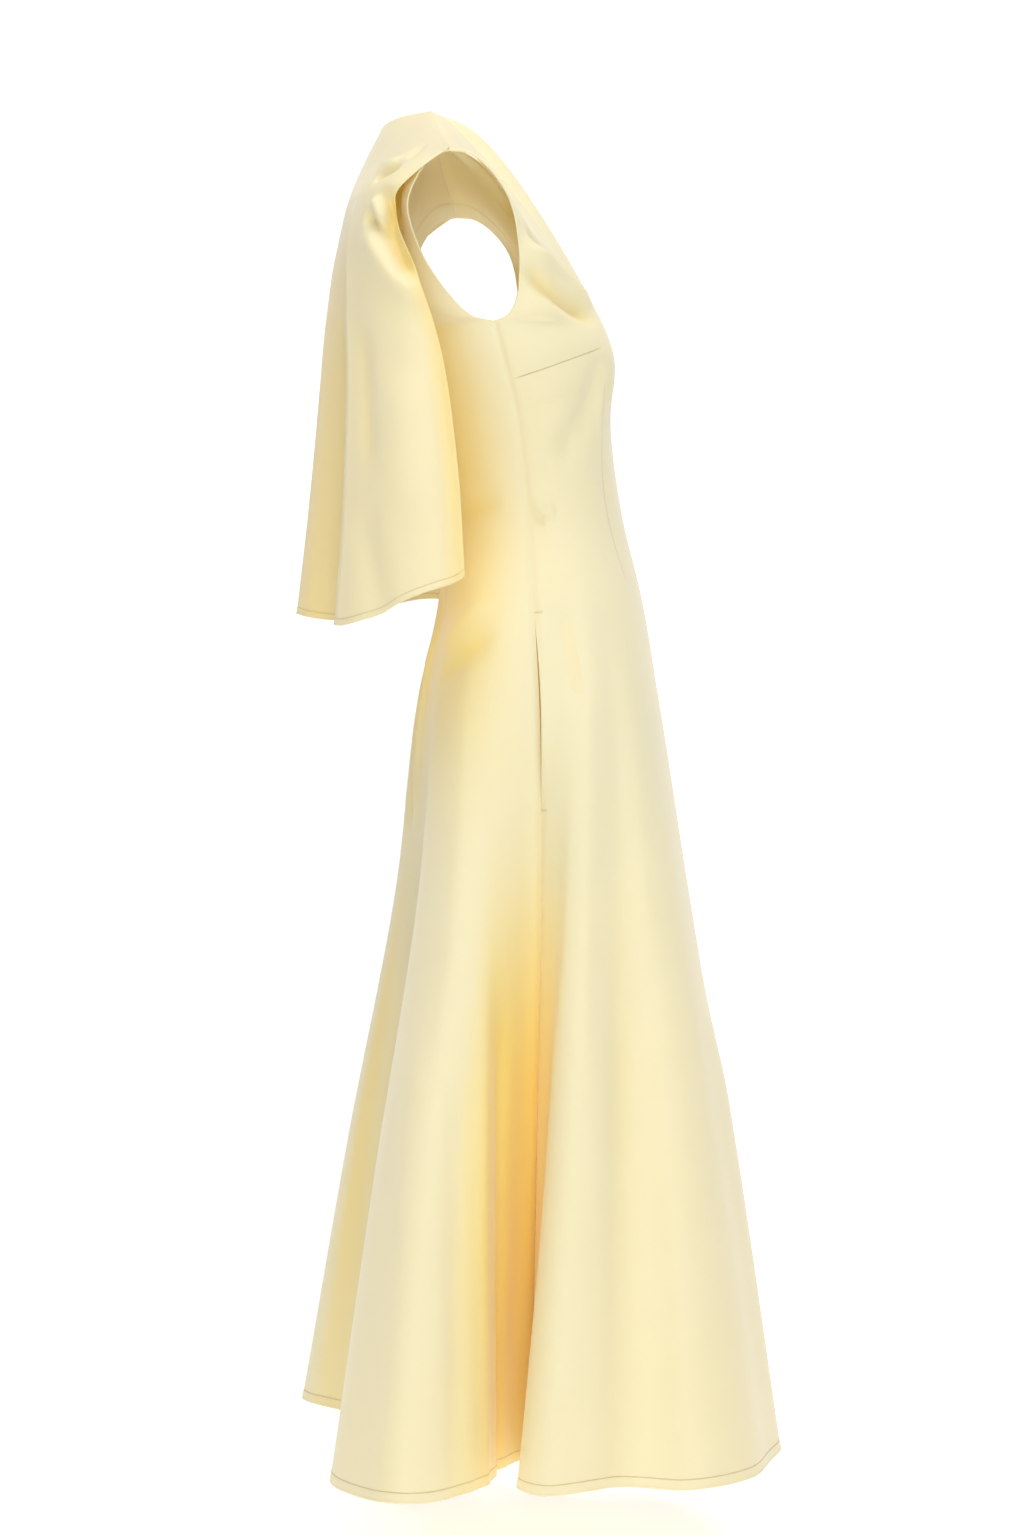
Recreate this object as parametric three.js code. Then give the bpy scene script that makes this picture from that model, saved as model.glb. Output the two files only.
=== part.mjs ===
// A sleeveless flared dress with a loose cape panel at the back, held in the shape that it has when worn.
// Millimetres, +Z up. The wearer faces -Y, and the wearer's right is -X. The origin is midway between the
// two neck points, the highest points of the shoulder seams, where the shoulders carry the dress.
// Cloth pieces: a front cut in one from the shoulders to the hem, a back cut the same way, a cape that hangs
// over the back from the neckline and shoulder seams, and two pocket bags behind the side seams.
// Every piece is a thin wall whose outer face is worked out from the tables below.

import * as THREE from "three";

// ---------------------------------------------------------------------------------- driving dimensions
const CLOTH = 1.6; // wall of the firm cotton, its turned edges averaged in
const SEAM = 0.3; // clearance between two pieces where they are sewn together
const CAPE_REST = 0.5; // clearance between the cape and the back where the cape lies on it

const UNDERARM_Z = -212; // bottom of the armholes
const FOLDS_FROM_Z = -430; // the skirt's flutes start just below the waist
const FOLD_POWER = 1.2; // how the flutes deepen on the way down
const HEM_Z = -1267;
const BACK_HEM = { lift: 9, share: 0.5 }; // the hem rides up over this share of the back's half width

const RING_POWER = 2.25; // a level section of the body: 2 is an ellipse, more is squarer

// The shape that the side darts and waist darts give the front, a little taller than it is wide.
const BUST = { x: 84, z: -230, reach: 50, tall: 1.18, height: 15, endsFrom: 0.75 };

// A pocket bag behind the front, and the mouth in the side seam through which it is reached.
const POCKET = { top: -478, bottom: -752, width: 158, topShare: 0.6 };
const MOUTH = { top: -488, bottom: -672, gape: 2.6 };
const BAG = { thickness: 2.4, inset: 2, atSeam: 0.5, hangsOff: 4 }; // two layers, and their clearances

// Level sections of the body of the dress. front, side and back are Y at the centre front, at the side seam
// and at the centre back, half is the half width.
const BODY = [
  { at: "underarm", z: -212, front: -164, side: -60, back: 52, half: 158 },
  { at: "bust", z: -235, front: -170, side: -66, back: 46, half: 157 },
  { at: "ribs", z: -300, front: -174, side: -82, back: 20, half: 141 },
  { at: "waist", z: -385, front: -186, side: -92, back: -9, half: 124 },
  { at: "high hip", z: -470, front: -206, side: -97, back: -5, half: 150 },
  { at: "hip", z: -560, front: -220, side: -102, back: 11, half: 184 },
  { at: "thigh", z: -750, front: -246, side: -104, back: 25, half: 236 },
  { at: "knee", z: -1000, front: -281, side: -99, back: 60, half: 300 },
  { at: "hem", z: -1267, front: -313, side: -93, back: 92, half: 362 },
];

// Plan of the hem on the wearer's right, from the centre front to the centre back. The left side mirrors it,
// with its flutes a little slacker.
const HEM_FRONT = [
  { at: "centre front", x: 0, y: -301 },
  { at: "front flute", x: -148, y: -323 },
  { at: "front corner", x: -246, y: -312 },
  { at: "corner", x: -318, y: -289 },
  { at: "side-front flute", x: -362, y: -236 },
  { at: "soft trough", x: -351, y: -172 },
  { at: "pocket flute", x: -388, y: -106 },
  { at: "flute edge", x: -357, y: -82 },
  { at: "valley wall", x: -290, y: -96 },
  { at: "side seam", x: -226, y: -94 },
];
const HEM_BACK = [
  { at: "side seam", x: -226, y: -94 },
  { at: "valley wall", x: -256, y: -76 },
  { at: "flank", x: -326, y: -58 },
  { at: "shoulder of the flute", x: -390, y: -30 },
  { at: "side-back flute", x: -420, y: 18 },
  { at: "corner", x: -370, y: 70 },
  { at: "heel of the flute", x: -314, y: 85 },
  { at: "back valley", x: -172, y: 34 },
  { at: "foot of the centre flute", x: -76, y: 66 },
  { at: "flank of the centre flute", x: -36, y: 104 },
  { at: "beside its ridge", x: -12, y: 125 },
  { at: "centre back flute", x: 14, y: 131 },
];
const LEFT_SLACK = { x: 0.96, y: 0.95 }; // shares of the right side's spread that the left side keeps

// Neckline and shoulder on the right, from the centre front over the neck point to the centre back.
const NECK_FRONT = [
  { at: "centre front", x: 0, y: -85, z: -61 },
  { at: "beside it", x: -26, y: -81, z: -56 },
  { at: "collar bone", x: -53, y: -61, z: -35 },
  { at: "side", x: -69, y: -30, z: -11 },
  { at: "neck point", x: -75, y: 0, z: 0 },
];
const NECK_BACK = [
  { at: "neck point", x: -75, y: 0, z: 0 },
  { at: "side", x: -60, y: 30, z: -3 },
  { at: "nape", x: -34, y: 46, z: -5 },
  { at: "beside it", x: -15, y: 50, z: -7 },
  { at: "centre back", x: 0, y: 50, z: -7 },
];
const SHOULDER_TIP = { x: -185, y: -19, z: -56 };
const SHOULDER_DIP = 5; // the seam hollows by this much between its ends
const NECK_SHARE = 0.4; // share of a half panel's width that the neckline takes
const ARMHOLE_FROM = 0.45; // share of a half panel's width at which the armhole begins to draw the cloth

// Armhole edges on the right, from the shoulder tip down to the underarm.
const ARMHOLE_FRONT = [
  { at: "shoulder tip", x: -185, y: -19, z: -56 },
  { at: "over the shoulder", x: -184, y: -37, z: -58 },
  { at: "strap", x: -177, y: -57, z: -72 },
  { at: "chest", x: -166, y: -76, z: -100 },
  { at: "hollow", x: -159, y: -84, z: -142 },
  { at: "turn", x: -157, y: -83, z: -186 },
  { at: "foot", x: -158, y: -74, z: -206 },
  { at: "underarm", x: -158, y: -60, z: -212 },
];
const ARMHOLE_BACK = [
  { at: "shoulder tip", x: -185, y: -19, z: -56 },
  { at: "over the shoulder", x: -182, y: -3, z: -60 },
  { at: "strap", x: -173, y: 12, z: -77 },
  { at: "blade", x: -165, y: 22, z: -104 },
  { at: "hollow", x: -160, y: 9, z: -148 },
  { at: "turn", x: -158, y: -16, z: -186 },
  { at: "foot", x: -158, y: -38, z: -207 },
  { at: "underarm", x: -158, y: -60, z: -212 },
];

// The cape at the levels where its fall changes. cy and cz are its centre back, ex, ey and ez its free side
// edge, arc how far round it bends in plan (degrees), fold the share of the hem's folds that it shows there.
const CAPE = [
  { at: "top", cy: 50, cz: -7, ex: -185, ey: -19, ez: -56, arc: 84, fold: 0 },
  { at: "yoke", cy: 78, cz: -64, ex: -184, ey: 17, ez: -81, arc: 84, fold: 0 },
  { at: "blade", cy: 95, cz: -127, ex: -178, ey: 35, ez: -112, arc: 80, fold: 0.14 },
  { at: "underarm", cy: 102, cz: -186, ex: -184, ey: 14, ez: -166, arc: 80, fold: 0.34 },
  { at: "ribs", cy: 108, cz: -262, ex: -193, ey: -9, ez: -238, arc: 80, fold: 0.56 },
  { at: "waist", cy: 118, cz: -372, ex: -201, ey: -26, ez: -352, arc: 80, fold: 0.8 },
  { at: "hem", cy: 130, cz: -481, ex: -206, ey: -33, ez: -459, arc: 80, fold: 1 },
];
const CAPE_SETTLE = 0.17; // share of the cape's length in which it leaves its seam for the free fall below
const CAPE_HEM = [
  { at: "centre back", x: 0, y: 131, drop: 0 },
  { at: "beside it", x: -17, y: 125, drop: 2 },
  { at: "flank", x: -47, y: 95, drop: 5 },
  { at: "valley", x: -84, y: 63, drop: 6 },
  { at: "inner flank", x: -118, y: 66, drop: 3 },
  { at: "side fold", x: -152, y: 83, drop: 15 },
  { at: "outer flank", x: -189, y: 55, drop: 14 },
  { at: "belly", x: -211, y: 10, drop: 4 },
  { at: "edge", x: -206, y: -33, drop: 0 },
];

const YELLOW = 0xf3e3ac;
const LIGHT_YELLOW = 0xf5e8b8;

// Grid sizes of the pieces: columns across, rows above the underarm, rows below it.
// Columns crowd towards the side seams and rows towards the waist, where the cloth bends most.
const PANEL_GRID = { across: 40, above: 8, below: 16, crowdAcross: 1.25, crowdDown: 2.1, evenDown: 0.55 };
const CAPE_GRID = { across: 44, down: 15 };
const POCKET_GRID = { across: 8, down: 9 };

// ------------------------------------------------------------------------------------------- curves
const mix = (a, b, t) => a + (b - a) * t;
const clamp01 = (t) => Math.min(1, Math.max(0, t));
const smooth = (t) => clamp01(t) ** 2 * (3 - 2 * clamp01(t));
const mixPoint = (p, q, t) => new THREE.Vector3().lerpVectors(p, q, t);
const vector = ({ x, y, z = 0 }) => new THREE.Vector3(x, y, z);

// A smooth function of one column of a table, over another column that only falls.
function column(rows, key, over = "z") {
  const at = rows.map((row) => -row[over]);
  const value = rows.map((row) => row[key]);
  const slope = value.map((_, i) => {
    if (i === 0 || i === value.length - 1) return null;
    const [a, b] = [at[i] - at[i - 1], at[i + 1] - at[i]];
    return ((value[i] - value[i - 1]) / a * b + (value[i + 1] - value[i]) / b * a) / (a + b);
  });
  slope[0] = (value[1] - value[0]) / (at[1] - at[0]);
  slope[value.length - 1] = (value.at(-1) - value.at(-2)) / (at.at(-1) - at.at(-2));
  return (z) => {
    let i = at.findIndex((a) => a > -z) - 1;
    if (i < 0) i = -z < at[0] ? 0 : at.length - 2;
    const step = at[i + 1] - at[i];
    const t = clamp01((-z - at[i]) / step);
    return (
      value[i] * (1 + 2 * t) * (1 - t) ** 2 + value[i + 1] * t * t * (3 - 2 * t) +
      slope[i] * step * t * (1 - t) ** 2 + slope[i + 1] * step * t * t * (t - 1)
    );
  };
}

// A smooth curve through points, as a function of the share of its length.
function through(points) {
  const curve = new THREE.CatmullRomCurve3(points, false, "centripetal");
  curve.arcLengthDivisions = 400; // so that equal shares are equal lengths
  return (share) => curve.getPointAt(clamp01(share));
}

// A cubic from p to q that leaves p along start and reaches q along end.
function hermite(p, q, start, end, t) {
  const [t2, t3] = [t * t, t * t * t];
  return new THREE.Vector3()
    .addScaledVector(p, 2 * t3 - 3 * t2 + 1)
    .addScaledVector(start, t3 - 2 * t2 + t)
    .addScaledVector(q, 3 * t2 - 2 * t3)
    .addScaledVector(end, t3 - t2);
}

const mirrored = (p) => new THREE.Vector3(-p.x, p.y, p.z);

// ------------------------------------------------------------------------- the body below the underarm
const bodyAt = Object.fromEntries(["front", "side", "back", "half"].map((key) => [key, column(BODY, key)]));

// How far the bust fills the front out, at a point of the front. It ends before the side seam.
function bustAt(x, z, share) {
  const away = Math.hypot(Math.abs(x) - BUST.x, (z - BUST.z) / BUST.tall) / BUST.reach;
  return BUST.height * Math.exp(-away * away) * (1 - smooth((share - BUST.endsFrom) / (1 - BUST.endsFrom)));
}

// A level quarter ring as a list of points, from the centre front or back (share 0) to the side seam (1).
const RING_STEPS = 48;
const ringCache = new Map();
function quarterRing(z, face) {
  const key = face + z.toFixed(4);
  if (ringCache.has(key)) return ringCache.get(key);
  const [middle, side, half] = [bodyAt[face](z), bodyAt.side(z), bodyAt.half(z)];
  const points = [];
  for (let i = 0; i <= RING_STEPS; i++) {
    const angle = (i / RING_STEPS) * (Math.PI / 2);
    const x = -half * Math.sin(angle) ** (2 / RING_POWER);
    const y = mix(side, middle, Math.cos(angle) ** (2 / RING_POWER));
    points.push(new THREE.Vector2(x, y));
  }
  const lengths = [0];
  for (let i = 1; i <= RING_STEPS; i++) lengths.push(lengths[i - 1] + points[i].distanceTo(points[i - 1]));
  const ring = { points, lengths };
  ringCache.set(key, ring);
  return ring;
}

// A point of the smooth ring, at a share of the way from the centre to the right side seam.
function ringPoint(z, face, share) {
  const { points, lengths } = quarterRing(z, face);
  const want = clamp01(share) * lengths.at(-1);
  let i = lengths.findIndex((length) => length >= want);
  i = Math.max(1, i);
  const t = (want - lengths[i - 1]) / (lengths[i] - lengths[i - 1]);
  const p = new THREE.Vector3(mix(points[i - 1].x, points[i].x, t), mix(points[i - 1].y, points[i].y, t), z);
  if (face === "front") p.y -= bustAt(p.x, z, share);
  return p;
}

// The hem's plan as a function from -1, the right side seam, over 0 to 1, the left side seam.
const mirrorRow = (seam, centre) => (row) => {
  const aside = centre.x * Math.max(0, 1 - row.x / seam.x); // a leaning centre flute takes its flank along
  return { ...row, x: aside - row.x * LEFT_SLACK.x, y: mix(seam.y, row.y, LEFT_SLACK.y) };
};
function hemPlan(rows, face) {
  const fromSide = face === "front" ? [...rows].reverse() : rows;
  const [seam, centre] = [fromSide[0], fromSide.at(-1)];
  const left = fromSide.slice(0, -1).reverse().map(mirrorRow(seam, centre));
  const curve = through([...fromSide, ...left].map((row) => vector({ x: row.x, y: row.y })));
  const middle = shareOf(curve, centre);
  return (s) => curve(s < 0 ? (1 + s) * middle : mix(middle, 1, s));
}

// The share of a curve's length at which it passes a table row.
function shareOf(curve, row) {
  let [best, nearest] = [0, Infinity];
  const fine = 1 / 2000;
  for (let share = 0; share <= 1; share += fine) {
    const p = curve(share);
    const away = Math.hypot(p.x - row.x, p.y - row.y);
    if (away < nearest) [best, nearest] = [share, away];
  }
  return best;
}
const hemOf = { front: hemPlan(HEM_FRONT, "front"), back: hemPlan(HEM_BACK, "back") };

// A point of the dress below the underarm. s runs from -1 at the right side seam to 1 at the left.
function skirtPoint(face, s, z) {
  const base = ringPoint(z, face, Math.abs(s));
  const hemBase = ringPoint(HEM_Z, face, Math.abs(s));
  if (s > 0) [base.x, hemBase.x] = [-base.x, -hemBase.x];
  const down = clamp01((FOLDS_FROM_Z - z) / (FOLDS_FROM_Z - HEM_Z));
  const fold = hemOf[face](s).sub(hemBase).multiplyScalar(down ** FOLD_POWER);
  const lift = face === "back" ? BACK_HEM.lift * (1 - smooth(Math.abs(s) / BACK_HEM.share)) * down : 0;
  return new THREE.Vector3(base.x + fold.x, base.y + fold.y, z + lift);
}

// -------------------------------------------------------------------------- the body above the underarm
const neckOf = {
  front: through(NECK_FRONT.map(vector)),
  back: through([...NECK_BACK].reverse().map(vector)),
};
const armholeOf = { front: through(ARMHOLE_FRONT.map(vector)), back: through(ARMHOLE_BACK.map(vector)) };

function shoulderPoint(share) {
  const p = mixPoint(vector(NECK_FRONT.at(-1)), vector(SHOULDER_TIP), share);
  p.z -= SHOULDER_DIP * Math.sin(Math.PI * share);
  return p;
}

// The top edge of a half panel, from the centre over the neck point to the shoulder tip.
function topPoint(face, s) {
  if (s < NECK_SHARE) return neckOf[face](s / NECK_SHARE);
  return shoulderPoint((s - NECK_SHARE) / (1 - NECK_SHARE));
}

// The way the cloth leaves its top edge, level across the shoulder seam and down the chest or back, and how
// strongly it holds to that, then to the fall that it has below the underarm.
const LEAVE = {
  front: {
    middle: new THREE.Vector3(0, -0.44, -0.9),
    seam: new THREE.Vector3(0, -1, 0),
    hold: { middle: 150, seam: 80, foot: 0.5 },
  },
  back: {
    middle: new THREE.Vector3(0, 0.22, -0.97),
    seam: new THREE.Vector3(0, 1, 0),
    hold: { middle: 150, seam: 80, foot: 0.9 },
  },
};

// A point above the underarm: s from 0 at the centre to 1 at the armhole, t from 0 at the top edge to 1.
function yokePoint(face, s, t) {
  const plain = (share) => {
    const top = topPoint(face, share);
    const foot = skirtPoint(face, -share, UNDERARM_Z);
    const below = skirtPoint(face, -share, UNDERARM_Z - 5);
    const length = top.distanceTo(foot);
    const turn = smooth(share / NECK_SHARE) ** 2;
    const { middle, seam, hold } = LEAVE[face];
    const start = mixPoint(middle, seam, turn).normalize().multiplyScalar(mix(hold.middle, hold.seam, turn));
    const end = below.sub(foot).normalize().multiplyScalar(length * hold.foot);
    return hermite(top, foot, start, end, t);
  };
  const edge = armholeOf[face](t).sub(plain(1));
  return plain(s).addScaledVector(edge, smooth((s - ARMHOLE_FROM) / (1 - ARMHOLE_FROM)));
}

// ------------------------------------------------------------------------------------------- the panels
// Rows of a panel: a share of the way down from its top edge to the underarm, then a level.
function panelRow(row) {
  const { above, below, crowdDown, evenDown } = PANEL_GRID;
  if (row <= above) return { t: row / above };
  const down = (row - above) / below;
  return { z: mix(UNDERARM_Z, HEM_Z, mix(down ** crowdDown, down, evenDown)) };
}

function panelPoint(face, s, row) {
  const { t, z } = panelRow(row);
  if (z !== undefined) return skirtPoint(face, s, z);
  const p = yokePoint(face, Math.abs(s), t);
  return s > 0 ? mirrored(p) : p;
}

const crowd = (u) => Math.sign(u) * (1 - (1 - Math.abs(u)) ** PANEL_GRID.crowdAcross);

// ------------------------------------------------------------------------------------------- the cape
const capeAt = Object.fromEntries(
  ["cy", "ex", "ey", "ez", "arc", "fold"].map((key) => [key, column(CAPE, key, "cz")]),
);
const capeHem = through(CAPE_HEM.map(vector));
const capeDrop = through(CAPE_HEM.map(({ x, y, drop }) => new THREE.Vector3(x, y, drop)));
const CAPE_TOP_Z = CAPE[0].cz;
const CAPE_HEM_Z = CAPE.at(-1).cz;

// The cape's smooth fall at the level where its centre back is at z, as an arc from there to its edge.
function capeArc(s, z) {
  const sweep = THREE.MathUtils.degToRad(capeAt.arc(z));
  const across = Math.sin(s * sweep) / Math.sin(sweep);
  const round = (Math.cos(s * sweep) - Math.cos(sweep)) / (1 - Math.cos(sweep));
  const [cy, ex, ey, ez] = [capeAt.cy(z), capeAt.ex(z), capeAt.ey(z), capeAt.ez(z)];
  return new THREE.Vector3(ex * across, mix(ey, cy, round), mix(z, ez, s * s));
}

// A point of the cape: s from 0 at the centre back to 1 at its free edge, t from 0 at its top to 1.
function capeHalf(s, t) {
  const top = topPoint("back", s);
  const z = mix(CAPE_TOP_Z, CAPE_HEM_Z, t);
  const arc = capeArc(s, z);
  const fold = capeHem(s).sub(capeArc(s, CAPE_HEM_Z)).multiplyScalar(capeAt.fold(z));
  fold.z = -capeDrop(s).z * capeAt.fold(z);
  return mixPoint(top, arc.add(fold), smooth(t / CAPE_SETTLE));
}

function capePoint(s, t) {
  const p = capeHalf(Math.abs(s), t);
  return s > 0 ? mirrored(p) : p;
}

// ------------------------------------------------------------------------------------------- walls
// A closed wall with its outer face on form(column, row). place gives the same points drawn back at the
// seams, square(column, row) tells where the wall meets its neighbour on end and so stands upright, lift
// moves a point out along its normal, and outward is the side that the face shows.
function wall(name, columns, rows, form, options) {
  const { outward, place = form, square = () => false, lift = () => 0 } = options;
  const { thickness = CLOTH, colour = YELLOW } = options;
  const [outer, inner] = [[], []];
  const step = 0.1; // of a column or row, to take a normal
  for (let j = 0; j <= rows; j++) {
    for (let i = 0; i <= columns; i++) {
      const across = form(Math.min(columns, i + step), j).sub(form(Math.max(0, i - step), j));
      const down = form(i, Math.min(rows, j + step)).sub(form(i, Math.max(0, j - step)));
      if (square(i, j)) down.z = 0;
      const normal = across.cross(down).normalize().multiplyScalar(outward);
      const here = place(i, j).addScaledVector(normal, lift(i, j));
      outer.push(here);
      inner.push(here.clone().addScaledVector(normal, -thickness));
    }
  }
  const geometry = new THREE.BufferGeometry().setFromPoints([...outer, ...inner]);
  geometry.setIndex(wallTriangles(columns, rows, outward > 0));
  const material = new THREE.MeshStandardMaterial({ color: colour, roughness: 0.85, metalness: 0 });
  const mesh = new THREE.Mesh(geometry, material);
  mesh.name = name;
  return mesh;
}

// The triangles of a closed wall: its outer and inner faces, then its top, foot and two side edges.
function wallTriangles(columns, rows, forwards) {
  const layerSize = (columns + 1) * (rows + 1);
  const at = (i, j, layer) => layer * layerSize + j * (columns + 1) + i;
  const triangles = [];
  const quad = (a, b, c, d) => triangles.push(...(forwards ? [a, b, c, a, c, d] : [a, c, b, a, d, c]));
  for (let j = 0; j < rows; j++) {
    for (let i = 0; i < columns; i++) {
      quad(at(i, j, 0), at(i + 1, j, 0), at(i + 1, j + 1, 0), at(i, j + 1, 0));
      quad(at(i, j, 1), at(i, j + 1, 1), at(i + 1, j + 1, 1), at(i + 1, j, 1));
    }
  }
  for (let i = 0; i < columns; i++) {
    quad(at(i, 0, 1), at(i + 1, 0, 1), at(i + 1, 0, 0), at(i, 0, 0));
    quad(at(i, rows, 0), at(i + 1, rows, 0), at(i + 1, rows, 1), at(i, rows, 1));
  }
  for (let j = 0; j < rows; j++) {
    quad(at(0, j, 0), at(0, j + 1, 0), at(0, j + 1, 1), at(0, j, 1));
    quad(at(columns, j, 1), at(columns, j + 1, 1), at(columns, j + 1, 0), at(columns, j, 0));
  }
  return triangles;
}

// A point moved by a distance towards another point of the same piece, to leave a seam's clearance.
function drawnBack(point, towards, by) {
  return point.clone().addScaledVector(towards.clone().sub(point).normalize(), by);
}

// How far the front's side edge stands back from its seam along the mouth of a pocket.
function mouthGape(z) {
  const along = clamp01((z - MOUTH.bottom) / (MOUTH.top - MOUTH.bottom));
  return MOUTH.gape * Math.sin(Math.PI * along);
}

// A front or back panel, with its side and shoulder edges drawn back from the seams.
function panel(name, face, outward) {
  const { across, above, below } = PANEL_GRID;
  const shareAt = (i) => crowd((2 * i) / across - 1);
  const form = (i, j) => panelPoint(face, shareAt(i), j);
  const place = (i, j) => {
    const p = form(i, j);
    if (j === 0) return drawnBack(p, form(i, 0.2), SEAM);
    const onSideSeam = j >= above && (i === 0 || i === across);
    if (!onSideSeam) return p;
    const gap = SEAM / 2 + (face === "front" ? mouthGape(p.z) : 0);
    return drawnBack(p, form(i === 0 ? 1 : across - 1, j), gap);
  };
  const square = (i, j) => j === 0 && Math.abs(shareAt(i)) > NECK_SHARE;
  return wall(name, across, above + below, form, { outward, place, square });
}

function cape() {
  const { across, down } = CAPE_GRID;
  const form = (i, j) => capePoint((2 * i) / across - 1, j / down);
  const place = (i, j) => (j === 0 ? drawnBack(form(i, 0), form(i, 0.2), SEAM) : form(i, j));
  const lift = () => CLOTH + CAPE_REST;
  return wall("cape", across, down, form, { outward: 1, place, lift, colour: LIGHT_YELLOW });
}

// A flat bag behind the front panel, from the side seam towards the centre, with a rounded foot.
function pocketBag(name, side) {
  const { across, down } = POCKET_GRID;
  const form = (i, j) => {
    const v = j / down;
    const z = mix(POCKET.top, POCKET.bottom, v);
    const panelWidth = panelHalfWidth(z);
    const upper = mix(POCKET.topShare, 1, smooth(v / 0.5));
    const lower = Math.sqrt(1 - ((v - 0.5) / 0.53) ** 2); // a round foot, cut off at its lowest
    const width = POCKET.width * (v < 0.5 ? upper : lower);
    const fromSeam = BAG.inset + width * (1 - i / across);
    return skirtPoint("front", side * (1 - fromSeam / panelWidth), z);
  };
  const lift = (i) => -CLOTH - mix(BAG.hangsOff, BAG.atSeam, i / across);
  return wall(name, across, down, form, { outward: -side, lift, thickness: BAG.thickness });
}

// The length of the front's right half round its level at z.
function panelHalfWidth(z) {
  const steps = 60;
  let length = 0;
  for (let k = 0; k < steps; k++) {
    length += skirtPoint("front", -k / steps, z).distanceTo(skirtPoint("front", -(k + 1) / steps, z));
  }
  return length;
}

// ------------------------------------------------------------------------------------------- the dress
const dress = new THREE.Group();
dress.add(panel("front", "front", -1));
dress.add(panel("back", "back", 1));
dress.add(cape());
dress.add(pocketBag("pocket_right", -1));
dress.add(pocketBag("pocket_left", 1));

export default dress;
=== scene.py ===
# %% [markdown]
# A cape dress in pale yellow cotton
#
# The dress is sleeveless and flared, with a cape panel that hangs free over the back. It was packed as
# solid walls of cloth in a shared frame. This lesson dresses those walls: each panel becomes a thin shell
# of cloth on the same form, with its soft folds, darts, seams and stitching, in a finish of woven cotton.
# Everything is in metres. The wearer faces -Y, the wearer's right is -X, and the origin lies midway between
# the two neck points.

import math

import bpy
import numpy as np
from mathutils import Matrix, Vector


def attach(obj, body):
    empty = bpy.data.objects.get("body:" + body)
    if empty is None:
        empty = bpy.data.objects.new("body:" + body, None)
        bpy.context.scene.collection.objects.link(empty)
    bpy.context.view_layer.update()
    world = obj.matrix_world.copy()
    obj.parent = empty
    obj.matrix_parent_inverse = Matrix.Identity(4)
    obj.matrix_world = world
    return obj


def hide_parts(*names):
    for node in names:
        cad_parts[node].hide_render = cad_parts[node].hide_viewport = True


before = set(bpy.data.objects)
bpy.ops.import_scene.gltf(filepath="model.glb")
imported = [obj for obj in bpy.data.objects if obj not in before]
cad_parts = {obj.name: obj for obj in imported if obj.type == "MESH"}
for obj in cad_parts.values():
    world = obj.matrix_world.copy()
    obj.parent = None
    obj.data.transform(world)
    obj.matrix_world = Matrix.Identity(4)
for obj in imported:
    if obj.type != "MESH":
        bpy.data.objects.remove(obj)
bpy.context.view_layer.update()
scene = bpy.context.scene
print("nodes:", sorted(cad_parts))

# %% [markdown]
# The camera
#
# The dress is looked at from the wearer's right, level with the hips, from a bit over three metres, with a
# short telephoto lens. A level camera keeps the long skirt lines from converging.

# %% Camera
CAMERA_PLACE = (-3.2, -0.077, -0.633)
LENS_MM = 75.8
SENSOR_MM = 36.0

camera_data = bpy.data.cameras.new("camera")
camera_data.lens = LENS_MM
camera_data.sensor_width = SENSOR_MM
camera = bpy.data.objects.new("camera", camera_data)
camera.location = CAMERA_PLACE
camera.rotation_euler = Vector((1.0, 0.0, 0.0)).to_track_quat("-Z", "Y").to_euler()
scene.collection.objects.link(camera)
scene.camera = camera
print("camera at", CAMERA_PLACE)

# %% [markdown]
# Smooth curves from short tables
#
# A cutter works with a few measured sections and lets the cloth run smoothly between them. The same is done
# here: `Column` runs smoothly down one column of a table, and `Path` is a smooth curve through points that is
# read by its share of length. Both work on whole arrays, so that a panel of forty thousand points takes
# a moment.


# %% Curves
def smooth(t):
    t = np.clip(t, 0.0, 1.0)
    return t * t * (3.0 - 2.0 * t)


def mix(a, b, t):
    return a + (b - a) * t


class Column:
    """A smooth function down one column of a table, over another column that only falls."""

    def __init__(self, rows, key, over="z"):
        self.at = np.array([-row[over] for row in rows])
        self.value = np.array([row[key] for row in rows])
        step = np.diff(self.at)
        rise = np.diff(self.value) / step
        inner = (rise[:-1] * step[1:] + rise[1:] * step[:-1]) / (step[:-1] + step[1:])
        self.slope = np.concatenate([rise[:1], inner, rise[-1:]])

    def __call__(self, z):
        at = -np.asarray(z, dtype=float)
        i = np.clip(np.searchsorted(self.at, at, side="right") - 1, 0, len(self.at) - 2)
        step = self.at[i + 1] - self.at[i]
        t = np.clip((at - self.at[i]) / step, 0.0, 1.0)
        start = self.value[i] * (1 + 2 * t) * (1 - t) ** 2 + self.slope[i] * step * t * (1 - t) ** 2
        end = self.value[i + 1] * t * t * (3 - 2 * t) + self.slope[i + 1] * step * t * t * (t - 1)
        return start + end


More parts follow.
